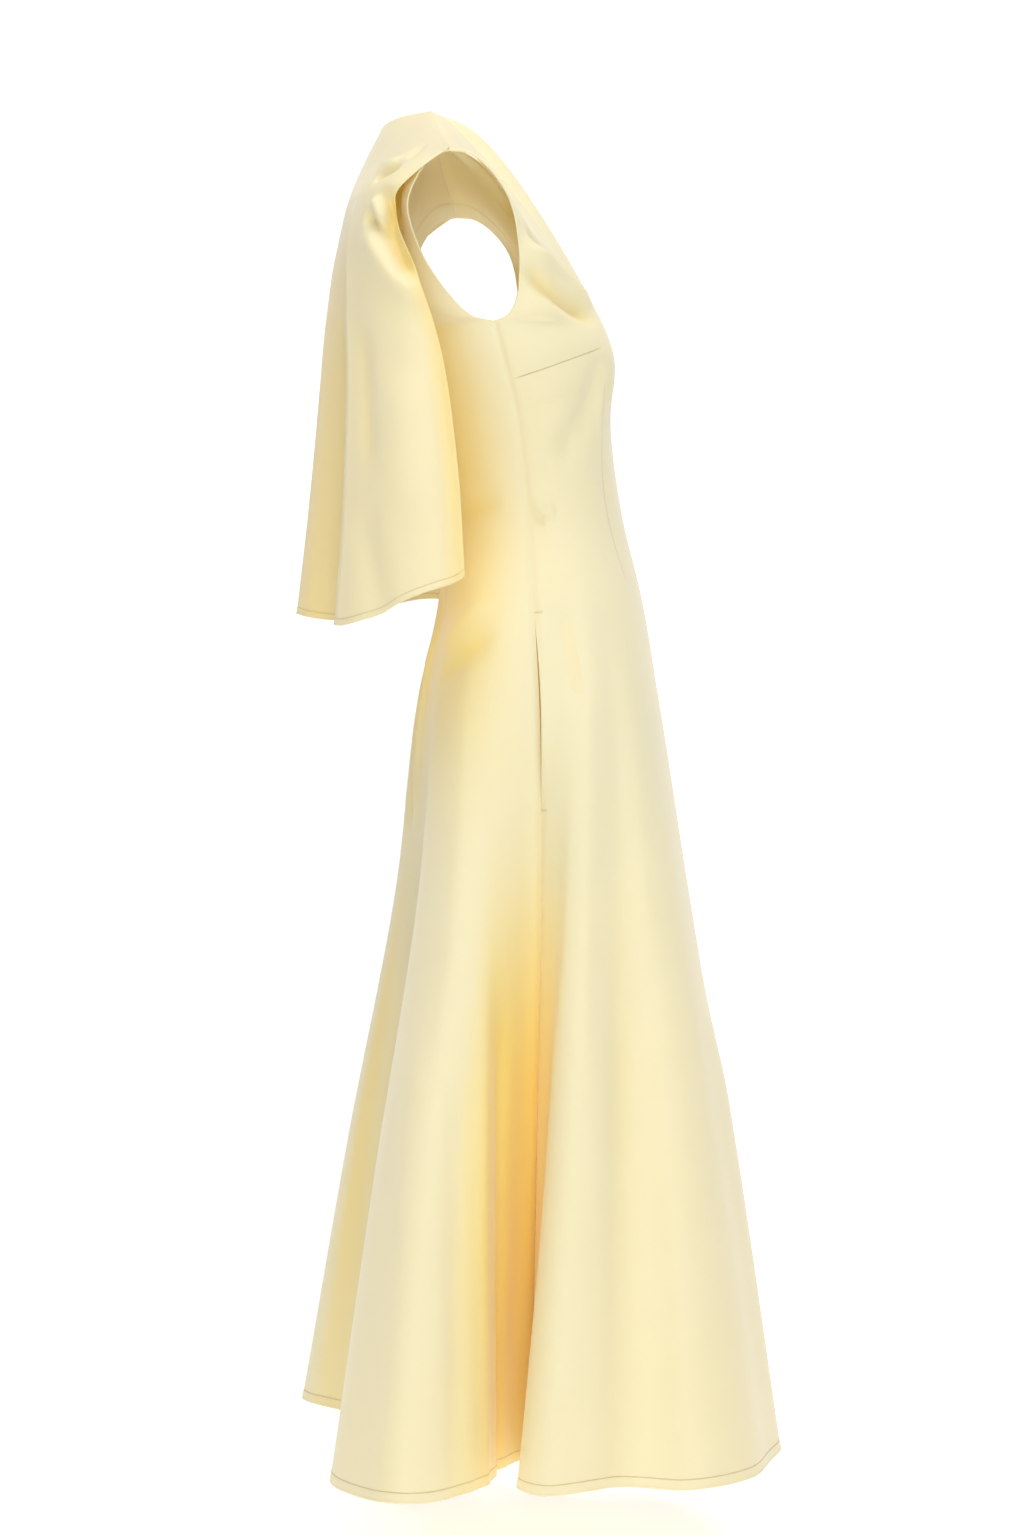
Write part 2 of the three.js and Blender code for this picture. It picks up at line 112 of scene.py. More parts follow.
class Path:
    """A smooth curve through points (centripetal, so it never loops), read by share of its length."""

    PER_SPAN = 60
    LEAST_GAP = 1e-6

    def __init__(self, points):
        points = np.array(points, dtype=float)
        ends = np.vstack([2 * points[0] - points[1], points, 2 * points[-1] - points[-2]])
        spans = [self.span(*ends[i : i + 4]) for i in range(len(points) - 1)]
        self.points = np.vstack(spans + [points[-1:]])
        steps = np.linalg.norm(np.diff(self.points, axis=0), axis=1)
        self.length = np.concatenate([[0.0], np.cumsum(steps)])

    def span(self, before, start, end, after):
        pairs = ((before, start), (start, end), (end, after))
        gaps = [max(np.linalg.norm(b - a) ** 0.5, self.LEAST_GAP) for a, b in pairs]
        leave = (start - before) / gaps[0] - (end - before) / (gaps[0] + gaps[1]) + (end - start) / gaps[1]
        reach = (end - start) / gaps[1] - (after - start) / (gaps[1] + gaps[2]) + (after - end) / gaps[2]
        t = np.linspace(0, 1, self.PER_SPAN, endpoint=False)[:, None]
        return hermite(start, end, leave * gaps[1], reach * gaps[1], t)

    def __call__(self, share):
        want = np.clip(share, 0.0, 1.0) * self.length[-1]
        return np.stack([np.interp(want, self.length, axis) for axis in self.points.T], axis=-1)

    def share_of(self, point):
        away = np.linalg.norm(self.points - np.array(point), axis=1)
        return self.length[np.argmin(away)] / self.length[-1]


def hermite(start, end, leave, reach, t):
    """A cubic from start to end that leaves along leave and arrives along reach."""
    return (
        start * (2 * t**3 - 3 * t**2 + 1)
        + leave * (t**3 - 2 * t**2 + t)
        + end * (3 * t**2 - 2 * t**3)
        + reach * (t**3 - t**2)
    )


# %% [markdown]
# The form of the dress
#
# Nine level sections give the body of the dress: how far its front, its side seam and its back stand from
# the shoulder line, and how wide it is. Below the waist the skirt is cut wider than the hips need, and the
# spare width falls into flutes. Their plan at the hem is a second table, and they grow from nothing at the
# waist to that plan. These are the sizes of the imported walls, so the cloth lies on them.

# %% Sections of the body and plan of the hem
UNDERARM_Z = -0.212
FOLDS_FROM_Z = -0.430
FOLD_POWER = 1.2
HEM_Z = -1.267
BACK_HEM = {"lift": 0.009, "share": 0.5}
RING_POWER = 2.25
RING_STEPS = 97
BUST = {"x": 0.084, "z": -0.230, "reach": 0.050, "tall": 1.18, "height": 0.015, "ends_from": 0.75}

BODY = [
    dict(at="underarm", z=-0.212, front=-0.164, side=-0.060, back=0.052, half=0.158),
    dict(at="bust", z=-0.235, front=-0.170, side=-0.066, back=0.046, half=0.157),
    dict(at="ribs", z=-0.300, front=-0.174, side=-0.082, back=0.020, half=0.141),
    dict(at="waist", z=-0.385, front=-0.186, side=-0.092, back=-0.009, half=0.124),
    dict(at="high hip", z=-0.470, front=-0.206, side=-0.097, back=-0.005, half=0.150),
    dict(at="hip", z=-0.560, front=-0.220, side=-0.102, back=0.011, half=0.184),
    dict(at="thigh", z=-0.750, front=-0.246, side=-0.104, back=0.025, half=0.236),
    dict(at="knee", z=-1.000, front=-0.281, side=-0.099, back=0.060, half=0.300),
    dict(at="hem", z=-1.267, front=-0.313, side=-0.093, back=0.092, half=0.362),
]
HEM_FRONT = [
    dict(at="centre front", x=0.0, y=-0.301),
    dict(at="front flute", x=-0.148, y=-0.323),
    dict(at="front corner", x=-0.246, y=-0.312),
    dict(at="corner", x=-0.318, y=-0.289),
    dict(at="side-front flute", x=-0.362, y=-0.236),
    dict(at="soft trough", x=-0.351, y=-0.172),
    dict(at="pocket flute", x=-0.388, y=-0.106),
    dict(at="flute edge", x=-0.357, y=-0.082),
    dict(at="valley wall", x=-0.290, y=-0.096),
    dict(at="side seam", x=-0.226, y=-0.094),
]
HEM_BACK = [
    dict(at="side seam", x=-0.226, y=-0.094),
    dict(at="valley wall", x=-0.256, y=-0.076),
    dict(at="flank", x=-0.326, y=-0.058),
    dict(at="shoulder of the flute", x=-0.390, y=-0.030),
    dict(at="side-back flute", x=-0.420, y=0.018),
    dict(at="corner", x=-0.370, y=0.070),
    dict(at="heel of the flute", x=-0.314, y=0.085),
    dict(at="back valley", x=-0.172, y=0.034),
    dict(at="foot of the centre flute", x=-0.076, y=0.066),
    dict(at="flank of the centre flute", x=-0.036, y=0.104),
    dict(at="beside its ridge", x=-0.012, y=0.125),
    dict(at="centre back flute", x=0.014, y=0.131),
]
LEFT_SLACK = {"x": 0.96, "y": 0.95}

body_at = {key: Column(BODY, key) for key in ("front", "side", "back", "half")}
print("hem of the front:", len(HEM_FRONT), "points; of the back:", len(HEM_BACK))


# %% The form below the underarm
def bust_at(x, z, share):
    away = np.hypot(np.abs(x) - BUST["x"], (z - BUST["z"]) / BUST["tall"]) / BUST["reach"]
    ends = 1 - smooth((share - BUST["ends_from"]) / (1 - BUST["ends_from"]))
    return BUST["height"] * np.exp(-away * away) * ends


def ring(z, face, share):
    """Points of the smooth level rings at heights z, at shares from the centre (0) to the side seam (1)."""
    angle = np.linspace(0, math.pi / 2, RING_STEPS)
    middle, side, half = body_at[face](z), body_at["side"](z), body_at["half"](z)
    points = np.zeros((len(z), len(share), 3))
    for row in range(len(z)):
        x = -half[row] * np.sin(angle) ** (2 / RING_POWER)
        y = mix(side[row], middle[row], np.clip(np.cos(angle), 0, 1) ** (2 / RING_POWER))
        length = np.concatenate([[0.0], np.cumsum(np.hypot(np.diff(x), np.diff(y)))])
        want = share * length[-1]
        points[row, :, 0] = np.interp(want, length, x)
        points[row, :, 1] = np.interp(want, length, y)
    points[:, :, 2] = z[:, None]
    if face == "front":
        points[:, :, 1] -= bust_at(points[:, :, 0], points[:, :, 2], share[None])
    return points


def hem_plan(rows, face):
    """The hem in plan as a function from -1, the right side seam, over 0 to 1, the left side seam."""
    from_side = rows[::-1] if face == "front" else rows
    right = [(row["x"], row["y"]) for row in from_side]
    seam, centre = right[0], right[-1]
    left = []
    for x, y in right[-2::-1]:
        aside = centre[0] * max(0.0, 1 - x / seam[0])
        left.append((aside - x * LEFT_SLACK["x"], mix(seam[1], y, LEFT_SLACK["y"])))
    path = Path(right + left)
    middle = path.share_of(right[-1])
    return lambda s: path(np.where(s < 0, (1 + s) * middle, mix(middle, 1, s)))


hem_of = {"front": hem_plan(HEM_FRONT, "front"), "back": hem_plan(HEM_BACK, "back")}


def skirt(face, s, z):
    """The dress below the underarm: s runs from -1 at the right side seam to 1 at the left one."""
    sides = np.where(s > 0, -1.0, 1.0)
    points = ring(z, face, np.abs(s))
    hem_base = ring(np.array([HEM_Z]), face, np.abs(s))[0]
    points[:, :, 0] *= sides
    hem_base[:, 0] *= sides
    down = np.clip((FOLDS_FROM_Z - z) / (FOLDS_FROM_Z - HEM_Z), 0, 1)[:, None]
    fold = hem_of[face](s) - hem_base[:, :2]
    points[:, :, :2] += fold[None] * (down**FOLD_POWER)[:, :, None]
    if face == "back":
        points[:, :, 2] += BACK_HEM["lift"] * (1 - smooth(np.abs(s) / BACK_HEM["share"])) * down
    return points


# %% [markdown]
# Neckline, shoulders and armholes
#
# Above the underarm each half panel is stretched between its top edge, which is half the neckline and then
# the shoulder seam, and the section at the underarm. The armhole is drawn as a curve of its own, and the
# cloth near it is pulled onto that curve.

# %% Edges above the underarm
NECK_FRONT = [(0.0, -0.085, -0.061), (-0.026, -0.081, -0.056), (-0.053, -0.061, -0.035),
              (-0.069, -0.030, -0.011), (-0.075, 0.0, 0.0)]
NECK_BACK = [(-0.075, 0.0, 0.0), (-0.060, 0.030, -0.003), (-0.034, 0.046, -0.005),
             (-0.015, 0.050, -0.007), (0.0, 0.050, -0.007)]
SHOULDER_TIP = (-0.185, -0.019, -0.056)
SHOULDER_DIP = 0.005
NECK_SHARE = 0.4
ARMHOLE_FROM = 0.45
ARMHOLE_FRONT = [SHOULDER_TIP, (-0.184, -0.037, -0.058), (-0.177, -0.057, -0.072), (-0.166, -0.076, -0.100),
                 (-0.159, -0.084, -0.142), (-0.157, -0.083, -0.186), (-0.158, -0.074, -0.206),
                 (-0.158, -0.060, -0.212)]
ARMHOLE_BACK = [SHOULDER_TIP, (-0.182, -0.003, -0.060), (-0.173, 0.012, -0.077), (-0.165, 0.022, -0.104),
                (-0.160, 0.009, -0.148), (-0.158, -0.016, -0.186), (-0.158, -0.038, -0.207),
                (-0.158, -0.060, -0.212)]
LEAVE = {
    "front": dict(middle=(0.0, -0.44, -0.9), seam=(0.0, -1.0, 0.0), hold_foot=0.5),
    "back": dict(middle=(0.0, 0.22, -0.97), seam=(0.0, 1.0, 0.0), hold_foot=0.9),
}
HOLD = {"middle": 0.150, "seam": 0.080}
JUST_BELOW = 0.005

neck_of = {"front": Path(NECK_FRONT), "back": Path(NECK_BACK[::-1])}
armhole_of = {"front": Path(ARMHOLE_FRONT), "back": Path(ARMHOLE_BACK)}


def unit(vectors):
    return vectors / np.maximum(np.linalg.norm(vectors, axis=-1, keepdims=True), 1e-12)


def top_edge(face, s):
    """Half the neckline, then the shoulder seam, at shares s from the centre to the shoulder tip."""
    along = np.clip((s - NECK_SHARE) / (1 - NECK_SHARE), 0, 1)[:, None]
    shoulder = mix(np.array(NECK_FRONT[-1]), np.array(SHOULDER_TIP), along)
    shoulder[:, 2] -= SHOULDER_DIP * np.sin(math.pi * along[:, 0])
    return np.where((s < NECK_SHARE)[:, None], neck_of[face](s / NECK_SHARE), shoulder)


def yoke(face, s, t):
    """The right half above the underarm: s from the centre to the armhole, t from the top edge down."""
    hold = LEAVE[face]

    def plain(share):
        top = top_edge(face, share)
        foot = skirt(face, -share, np.array([UNDERARM_Z]))[0]
        below = skirt(face, -share, np.array([UNDERARM_Z - JUST_BELOW]))[0]
        length = np.linalg.norm(top - foot, axis=1, keepdims=True)
        turn = smooth(share / NECK_SHARE)[:, None] ** 2
        leave = unit(mix(np.array(hold["middle"]), np.array(hold["seam"]), turn))
        leave = leave * mix(HOLD["middle"], HOLD["seam"], turn)
        reach = unit(below - foot) * length * hold["hold_foot"]
        return hermite(top[None], foot[None], leave[None], reach[None], t[:, None, None])

    edge = armhole_of[face](t) - plain(np.array([1.0]))[:, 0]
    pull = smooth((s - ARMHOLE_FROM) / (1 - ARMHOLE_FROM))
    return plain(s) + edge[:, None] * pull[None, :, None]


def panel_form(face, s, t, z):
    """Rows of a whole panel: shares t above the underarm, then heights z below it."""
    upper = yoke(face, np.abs(s), t)
    upper[:, :, 0] *= np.where(s > 0, -1.0, 1.0)[None]
    return np.concatenate([upper, skirt(face, s, z)], axis=0)


print("shoulder seam", round(math.dist(NECK_FRONT[-1], SHOULDER_TIP), 3), "m long")

# %% [markdown]
# The cape
#
# The cape is one free panel. Its top is caught in the neckline and the shoulder seams, it lies on the
# shoulder blades, and from there it falls clear of the back. In plan it is a wide arc from one side edge
# round to the other, and its spare width falls into a ridge at the centre back and one towards each side.
# The hem dips at the right side ridge and hangs a little higher on the left.

# %% The form of the cape
CAPE = [
    dict(at="top", cy=0.050, cz=-0.007, ex=-0.185, ey=-0.019, ez=-0.056, arc=84, fold=0.0),
    dict(at="yoke", cy=0.078, cz=-0.064, ex=-0.184, ey=0.017, ez=-0.081, arc=84, fold=0.0),
    dict(at="blade", cy=0.095, cz=-0.127, ex=-0.178, ey=0.035, ez=-0.112, arc=80, fold=0.14),
    dict(at="underarm", cy=0.102, cz=-0.186, ex=-0.184, ey=0.014, ez=-0.166, arc=80, fold=0.34),
    dict(at="ribs", cy=0.108, cz=-0.262, ex=-0.193, ey=-0.009, ez=-0.238, arc=80, fold=0.56),
    dict(at="waist", cy=0.118, cz=-0.372, ex=-0.201, ey=-0.026, ez=-0.352, arc=80, fold=0.8),
    dict(at="hem", cy=0.130, cz=-0.481, ex=-0.206, ey=-0.033, ez=-0.459, arc=80, fold=1.0),
]
CAPE_SETTLE = 0.17
CAPE_HEM = [
    dict(at="centre back", x=0.0, y=0.131, right=0.0, left=0.0),
    dict(at="beside it", x=-0.017, y=0.125, right=0.003, left=0.002),
    dict(at="flank", x=-0.047, y=0.095, right=0.009, left=0.004),
    dict(at="valley", x=-0.084, y=0.063, right=0.010, left=0.002),
    dict(at="inner flank", x=-0.118, y=0.066, right=0.006, left=-0.003),
    dict(at="side fold", x=-0.152, y=0.083, right=0.025, left=-0.001),
    dict(at="outer flank", x=-0.189, y=0.055, right=0.023, left=-0.006),
    dict(at="belly", x=-0.211, y=0.010, right=0.009, left=-0.010),
    dict(at="edge", x=-0.206, y=-0.033, right=0.0, left=0.0),
]
CAPE_OFF_BACK = 0.0021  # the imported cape's outer face stands this far off the seam that it is sewn into

cape_at = {key: Column(CAPE, key, "cz") for key in ("cy", "ex", "ey", "ez", "arc", "fold")}
cape_hem_path = Path([(row["x"], row["y"], 0.0) for row in CAPE_HEM])
cape_drop_path = {
    side: Path([(row["x"], row["y"], row[side]) for row in CAPE_HEM]) for side in ("right", "left")
}


def cape_arc(s, z):
    """The cape's smooth fall: s from the centre back to the edge, one row for each height z at the centre."""
    sweep = np.radians(cape_at["arc"](z))[:, None]
    across = np.sin(s[None] * sweep) / np.sin(sweep)
    bulge = (np.cos(s[None] * sweep) - np.cos(sweep)) / (1 - np.cos(sweep))
    cy, ex, ey, ez = (cape_at[key](z)[:, None] for key in ("cy", "ex", "ey", "ez"))
    return np.stack([ex * across, mix(ey, cy, bulge), mix(z[:, None], ez, s[None] ** 2)], axis=-1)


def cape_half(s, t, side):
    z = mix(CAPE[0]["cz"], CAPE[-1]["cz"], t)
    hem_z = np.array([CAPE[-1]["cz"]])
    fold = cape_hem_path(s) - cape_arc(s, hem_z)[0]
    fold[:, 2] = -cape_drop_path[side](s)[:, 2]
    points = cape_arc(s, z) + fold[None] * cape_at["fold"](z)[:, None, None]
    return mix(top_edge("back", s)[None], points, smooth(t / CAPE_SETTLE)[:, None, None])


def cape_form(s, t):
    right, left = (cape_half(np.abs(s), t, side) for side in ("right", "left"))
    return np.where((s > 0)[None, :, None], left * (-1.0, 1.0, 1.0), right)


print("cape", round(CAPE[0]["cz"] - CAPE[-1]["cz"], 3), "m deep at the centre back")

# %% [markdown]
# Soft folds
#
# Cotton of this weight bends in soft troughs and ridges, which start where the cloth is held: at the
# armhole, at the point of a dart, at the waist. Each one is a short path through space with a width and
# a height, which is below zero for a trough. The points of the cloth near that path move along the cloth's
# own normal, and the fold fades at its ends. Most folds have a partner on the other side, which is
# a little lower and flatter, because no worn garment is exactly even.

# %% Folds of the front
FRONT_FOLDS = [
    dict(name="fold from the armhole", width=0.0080, out=0.0066, left=(0.8, 0.010),
         path=[(-0.157, -0.085, -0.135), (-0.150, -0.099, -0.143), (-0.128, -0.116, -0.154),
               (-0.107, -0.133, -0.168), (-0.091, -0.148, -0.183), (-0.080, -0.160, -0.196)]),
    dict(name="trough over it", width=0.0075, out=-0.0058, left=(0.7, 0.011),
         path=[(-0.157, -0.086, -0.120), (-0.138, -0.100, -0.129), (-0.116, -0.114, -0.142),
               (-0.096, -0.130, -0.157), (-0.080, -0.145, -0.171)]),
    dict(name="trough under it", width=0.0105, out=-0.0084, left=(0.75, 0.009),
         path=[(-0.158, -0.084, -0.156), (-0.154, -0.096, -0.168), (-0.147, -0.110, -0.179),
               (-0.123, -0.135, -0.194), (-0.100, -0.152, -0.199), (-0.084, -0.162, -0.206)]),
    dict(name="hollow under the bust", width=0.0150, out=-0.0058, left=(0.8, 0.006),
         path=[(-0.090, -0.168, -0.236), (-0.104, -0.158, -0.265), (-0.113, -0.146, -0.298),
               (-0.123, -0.129, -0.326), (-0.128, -0.118, -0.350)]),
    dict(name="lip beside the waist dart", width=0.0070, out=0.0016, left=(0.8, 0.002),
         path=[(-0.094, -0.164, -0.262), (-0.086, -0.166, -0.308), (-0.082, -0.172, -0.345)]),
    dict(name="drag at the waist", width=0.0050, out=0.0032, left=(0.7, 0.006),
         path=[(-0.126, -0.096, -0.384), (-0.124, -0.106, -0.386), (-0.120, -0.120, -0.385)]),
    dict(name="crease under the drag", width=0.0045, out=-0.0036, left=(0.7, 0.006),
         path=[(-0.128, -0.094, -0.394), (-0.127, -0.100, -0.397), (-0.125, -0.110, -0.398)]),
    dict(name="slack over the hip", width=0.0160, out=-0.0028, left=(0.7, 0.014),
         path=[(-0.146, -0.118, -0.466), (-0.156, -0.130, -0.500), (-0.168, -0.137, -0.540),
               (-0.186, -0.144, -0.590)]),
    dict(name="trough down the side front", width=0.0300, out=-0.0085, left=(0.8, 0.0), runs_off=True,
         path=[(-0.206, -0.196, -0.720), (-0.262, -0.201, -0.935), (-0.299, -0.204, -1.066),
               (-0.336, -0.204, -1.194), (-0.356, -0.204, -1.290)]),
    dict(name="ridge beside the pocket flute", width=0.0260, out=0.0050, left=(0.8, 0.0), runs_off=True,
         path=[(-0.235, -0.140, -0.800), (-0.288, -0.146, -0.978), (-0.342, -0.148, -1.193),
               (-0.360, -0.146, -1.290)]),
    dict(name="soft ridge down the front", width=0.0350, out=0.0050, left=(0.9, 0.0), runs_off=True,
         path=[(-0.120, -0.262, -0.820), (-0.160, -0.295, -1.050), (-0.200, -0.318, -1.290)]),
    dict(name="soft trough down the front", width=0.0330, out=-0.0060, left=(0.6, 0.0), runs_off=True,
         path=[(-0.050, -0.262, -0.880), (-0.070, -0.290, -1.060), (-0.085, -0.312, -1.290)]),
]

# %% Folds of the back
BACK_FOLDS = [
    dict(name="drag at the waist", width=0.0100, out=-0.0024, left=(0.8, 0.006),
         path=[(-0.122, -0.076, -0.376), (-0.100, -0.034, -0.388), (-0.066, -0.014, -0.392)]),
    dict(name="fold over the seat", width=0.0120, out=0.0040, left=(0.7, 0.016),
         path=[(-0.146, -0.058, -0.470), (-0.128, -0.032, -0.496), (-0.100, -0.014, -0.528)]),
    dict(name="trough under that fold", width=0.0130, out=-0.0050, left=(0.7, 0.014),
         path=[(-0.160, -0.062, -0.500), (-0.144, -0.034, -0.530), (-0.112, -0.010, -0.566)]),
    dict(name="small fold beside the centre", width=0.0050, out=0.0050, left=(0.8, 0.020),
         path=[(-0.034, -0.008, -0.450), (-0.048, -0.007, -0.490), (-0.040, 0.001, -0.530),
               (-0.038, 0.008, -0.570), (-0.034, 0.014, -0.625), (-0.036, 0.018, -0.710)]),
    dict(name="crease beside it", width=0.0055, out=-0.0052, left=(0.8, 0.020),
         path=[(-0.026, -0.006, -0.460), (-0.030, -0.002, -0.500), (-0.024, 0.005, -0.540),
               (-0.020, 0.013, -0.580), (-0.016, 0.020, -0.650)]),
    dict(name="short wave at the seat", width=0.0060, out=-0.0030, left=(0.6, 0.012),
         path=[(-0.020, 0.018, -0.625), (-0.026, 0.021, -0.655), (-0.022, 0.023, -0.690)]),
    dict(name="second wave at the seat", width=0.0060, out=0.0026, left=(0.6, 0.012),
         path=[(-0.010, 0.020, -0.640), (-0.014, 0.023, -0.675), (-0.010, 0.025, -0.705)]),
    dict(name="ridge of the side back flute", width=0.0240, out=0.0050, left=(0.8, 0.0), runs_off=True,
         path=[(-0.232, 0.006, -0.800), (-0.300, 0.014, -0.960), (-0.372, 0.020, -1.140),
               (-0.416, 0.024, -1.290)]),
    dict(name="trough on its flank", width=0.0160, out=-0.0040, left=(0.8, 0.0), runs_off=True,
         path=[(-0.272, -0.030, -0.860), (-0.317, -0.030, -1.000), (-0.369, -0.031, -1.190),
               (-0.392, -0.031, -1.290)]),
    dict(name="lip of the side valley", width=0.0090, out=0.0034, left=(0.8, 0.0), runs_off=True,
         path=[(-0.248, -0.051, -0.800), (-0.273, -0.051, -0.900), (-0.316, -0.051, -1.100),
               (-0.344, -0.051, -1.290)]),
    dict(name="bottom of the side valley", width=0.0120, out=-0.0050, left=(0.8, 0.0), runs_off=True,
         path=[(-0.233, -0.068, -0.800), (-0.252, -0.068, -0.900), (-0.278, -0.068, -1.100),
               (-0.289, -0.068, -1.290)]),
]

# %% Folds of the cape
CAPE_FOLDS = [
    dict(name="valley beside the armhole", width=0.0085, out=-0.0105, left=(0.8, 0.007),
         path=[(-0.168, 0.048, -0.084), (-0.174, 0.043, -0.097), (-0.180, 0.038, -0.114),
               (-0.181, 0.036, -0.137), (-0.185, 0.023, -0.166), (-0.190, 0.010, -0.186)]),
    dict(name="branch of the valley", width=0.0060, out=-0.0060, left=(0.8, 0.009),
         path=[(-0.156, 0.062, -0.110), (-0.166, 0.056, -0.119), (-0.175, 0.047, -0.131),
               (-0.181, 0.038, -0.144)]),
    dict(name="ridge between them", width=0.0050, out=0.0042, left=(0.8, 0.008),
         path=[(-0.166, 0.054, -0.096), (-0.173, 0.048, -0.110), (-0.178, 0.041, -0.124)]),
    dict(name="ridge under the valley", width=0.0110, out=0.0062, left=(0.8, 0.008),
         path=[(-0.155, 0.065, -0.122), (-0.170, 0.053, -0.143), (-0.180, 0.040, -0.164),
               (-0.187, 0.018, -0.190), (-0.190, 0.004, -0.214)]),
    dict(name="dimple at the shoulder", width=0.0062, out=-0.0062, left=(0.9, 0.004),
         path=[(-0.147, 0.054, -0.080), (-0.153, 0.047, -0.076), (-0.162, 0.036, -0.070),
               (-0.167, 0.024, -0.066)]),
    dict(name="ridge over the dimple", width=0.0060, out=0.0034, left=(0.9, 0.004),
         path=[(-0.138, 0.052, -0.068), (-0.148, 0.040, -0.064), (-0.158, 0.026, -0.060)]),
    dict(name="crease to the shoulder tip", width=0.0050, out=-0.0030, left=(0.7, 0.003),
         path=[(-0.168, 0.021, -0.065), (-0.160, 0.013, -0.056), (-0.152, 0.005, -0.047)]),
    dict(name="hollow beside the side ridge", width=0.0130, out=-0.0036, left=(0.7, 0.015),
         path=[(-0.156, 0.070, -0.200), (-0.164, 0.064, -0.262), (-0.170, 0.060, -0.310),
               (-0.180, 0.055, -0.370)]),
    dict(name="hollow over the hem", width=0.0180, out=-0.0046, left=(0.7, 0.0), runs_off=True,
         path=[(-0.172, 0.068, -0.380), (-0.184, 0.060, -0.430), (-0.200, 0.044, -0.500)]),
    dict(name="belly of the side", width=0.0260, out=0.0040, left=(0.8, 0.010),
         path=[(-0.186, 0.030, -0.250), (-0.196, 0.024, -0.330), (-0.204, 0.016, -0.420)]),
    dict(name="roll behind the free edge", width=0.0080, out=-0.0030, left=(0.8, 0.0), runs_off=True,
         path=[(-0.191, -0.002, -0.215), (-0.195, -0.008, -0.270), (-0.203, -0.018, -0.360),
               (-0.208, -0.022, -0.480)]),
    dict(name="soft trough down the middle", width=0.0180, out=-0.0030, left=(0.7, 0.020),
         path=[(-0.070, 0.086, -0.190), (-0.076, 0.084, -0.290), (-0.080, 0.076, -0.400)]),
]
FOLDS = {"front": FRONT_FOLDS, "back": BACK_FOLDS, "cape": CAPE_FOLDS}


# %% Fold tools
FOLD_STRENGTH = 1.3  # the tables give the folds of a crisper cloth, and this one bends a little more
FOLD_REACH = 2.8  # beyond this many widths a fold no longer moves the cloth
FOLD_ENDS = 0.28  # the share of its length over which a fold fades at an end
FOLD_STEPS = 120


def normals(points, outward):
    """The outward direction at each point of a grid of rows and columns."""
    across = np.gradient(points, axis=1)
    down = np.gradient(points, axis=0)
    return unit(np.cross(across, down)) * outward


def with_partners(folds):
    """Each fold, and its partner on the other side: a share of its height, and lower by a distance."""
    for fold in folds:
        yield fold
        share, lower = fold["left"]
        path = [(-x, y, z - lower) for x, y, z in fold["path"]]
        yield dict(fold, out=fold["out"] * share, path=path)


def near_box(points, line, reach):
    low, high = line.min(axis=0) - reach, line.max(axis=0) + reach
    return np.all((points > low) & (points < high), axis=-1)


def fold_amount(points, fold):
    """How far one fold moves each point: full on its path, nothing beyond its width, faded at its ends."""
    path = Path(fold["path"])
    steps = np.linspace(0, 1, FOLD_STEPS)
    line = path(steps)
    amount = np.zeros(points.shape[:2])
    near = near_box(points, line, FOLD_REACH * fold["width"])
    if not near.any():
        return amount
    away = np.linalg.norm(points[near][:, None] - line[None], axis=-1)
    share = steps[away.argmin(axis=1)]
    fade = smooth(share / FOLD_ENDS)
    if not fold.get("runs_off"):
        fade = fade * smooth((1 - share) / FOLD_ENDS)
    amount[near] = FOLD_STRENGTH * fold["out"] * fade * np.exp(-((away.min(axis=1) / fold["width"]) ** 2))
    return amount


def folded(points, piece, outward):
    """The cloth with all its folds, each along the normals of the smooth form, and the narrow folds alone."""
    direction = normals(points, outward)
    amount, narrow = np.zeros(points.shape[:2]), np.zeros(points.shape[:2])
    for fold in with_partners(FOLDS[piece]):
        moved = fold_amount(points, fold)
        amount += moved
        narrow += moved * (fold["width"] < TROUGH["narrow"])
    highest = 1000 * float(np.abs(amount).max())
    print(piece, "has", 2 * len(FOLDS[piece]), "folds, at most", round(highest, 1), "mm")
    return points + direction * amount[:, :, None], narrow


# %% [markdown]
# How deep each point lies
#
# Light that reaches the bottom of a flute has bounced from yellow cloth many times, so the flutes glow warm.
# This warm glow and shade is painted into the cloth's colour. Each point of the cloth therefore notes how
# hollow its place is, from 0 to 1: in the skirt this comes from the distance inside the band that could be
# stretched round the dress at that level, and elsewhere from the depth of its trough. The wide valleys of the
# back are open to the room, so they count for less, and the flanks of the centre back flute face away from
# the light, so they count a little, as painted shade. The back under the cape counts as well, as the cape's
# painted shadow. The finish is painted warmer where the number is high.

# %% Hollows, for painted warm shade
# Numbers for the painted warm shade in the flutes, the narrow troughs and under the cape.
TROUGH = {"narrow": 0.015, "deep": 0.011, "share": 0.5}
FADES_IN = {"from": -0.66, "full": -0.94}
DEPTHS = {
    "front": [dict(of="wall", starts=0.010, full=0.050, share=0.35),
              dict(of="bottom", starts=0.040, full=0.060, share=0.65)],
    "back": [dict(of="wall", starts=0.0, full=0.028, share=0.55),
             dict(of="bottom", starts=0.024, full=0.056, share=0.45)],
}
DEPTH_POWER = 1.9
LEAST_DOWN = 0.05
OPEN_VALLEY = {"share": 0.25, "to": 0.62, "over": 0.14}
# Painted shade on the flanks of the centre back flute, which face away from the light.
CENTRE_FLANK_SHADE = {"share": 0.65, "full": 0.015, "fades": 0.020, "over": 0.040, "within": 0.45, "edge": 0.20}
FOOT = {"from": -1.05, "less": 0.42}  # the open hem lets white light in
# Painted shadow of the cape on the back: full above the cape's hem, fading lower down and at the side seams.
CAPE_SHADOW_PAINT = {"from": -0.74, "full": -0.50, "share": 0.72, "fade": 0.44}


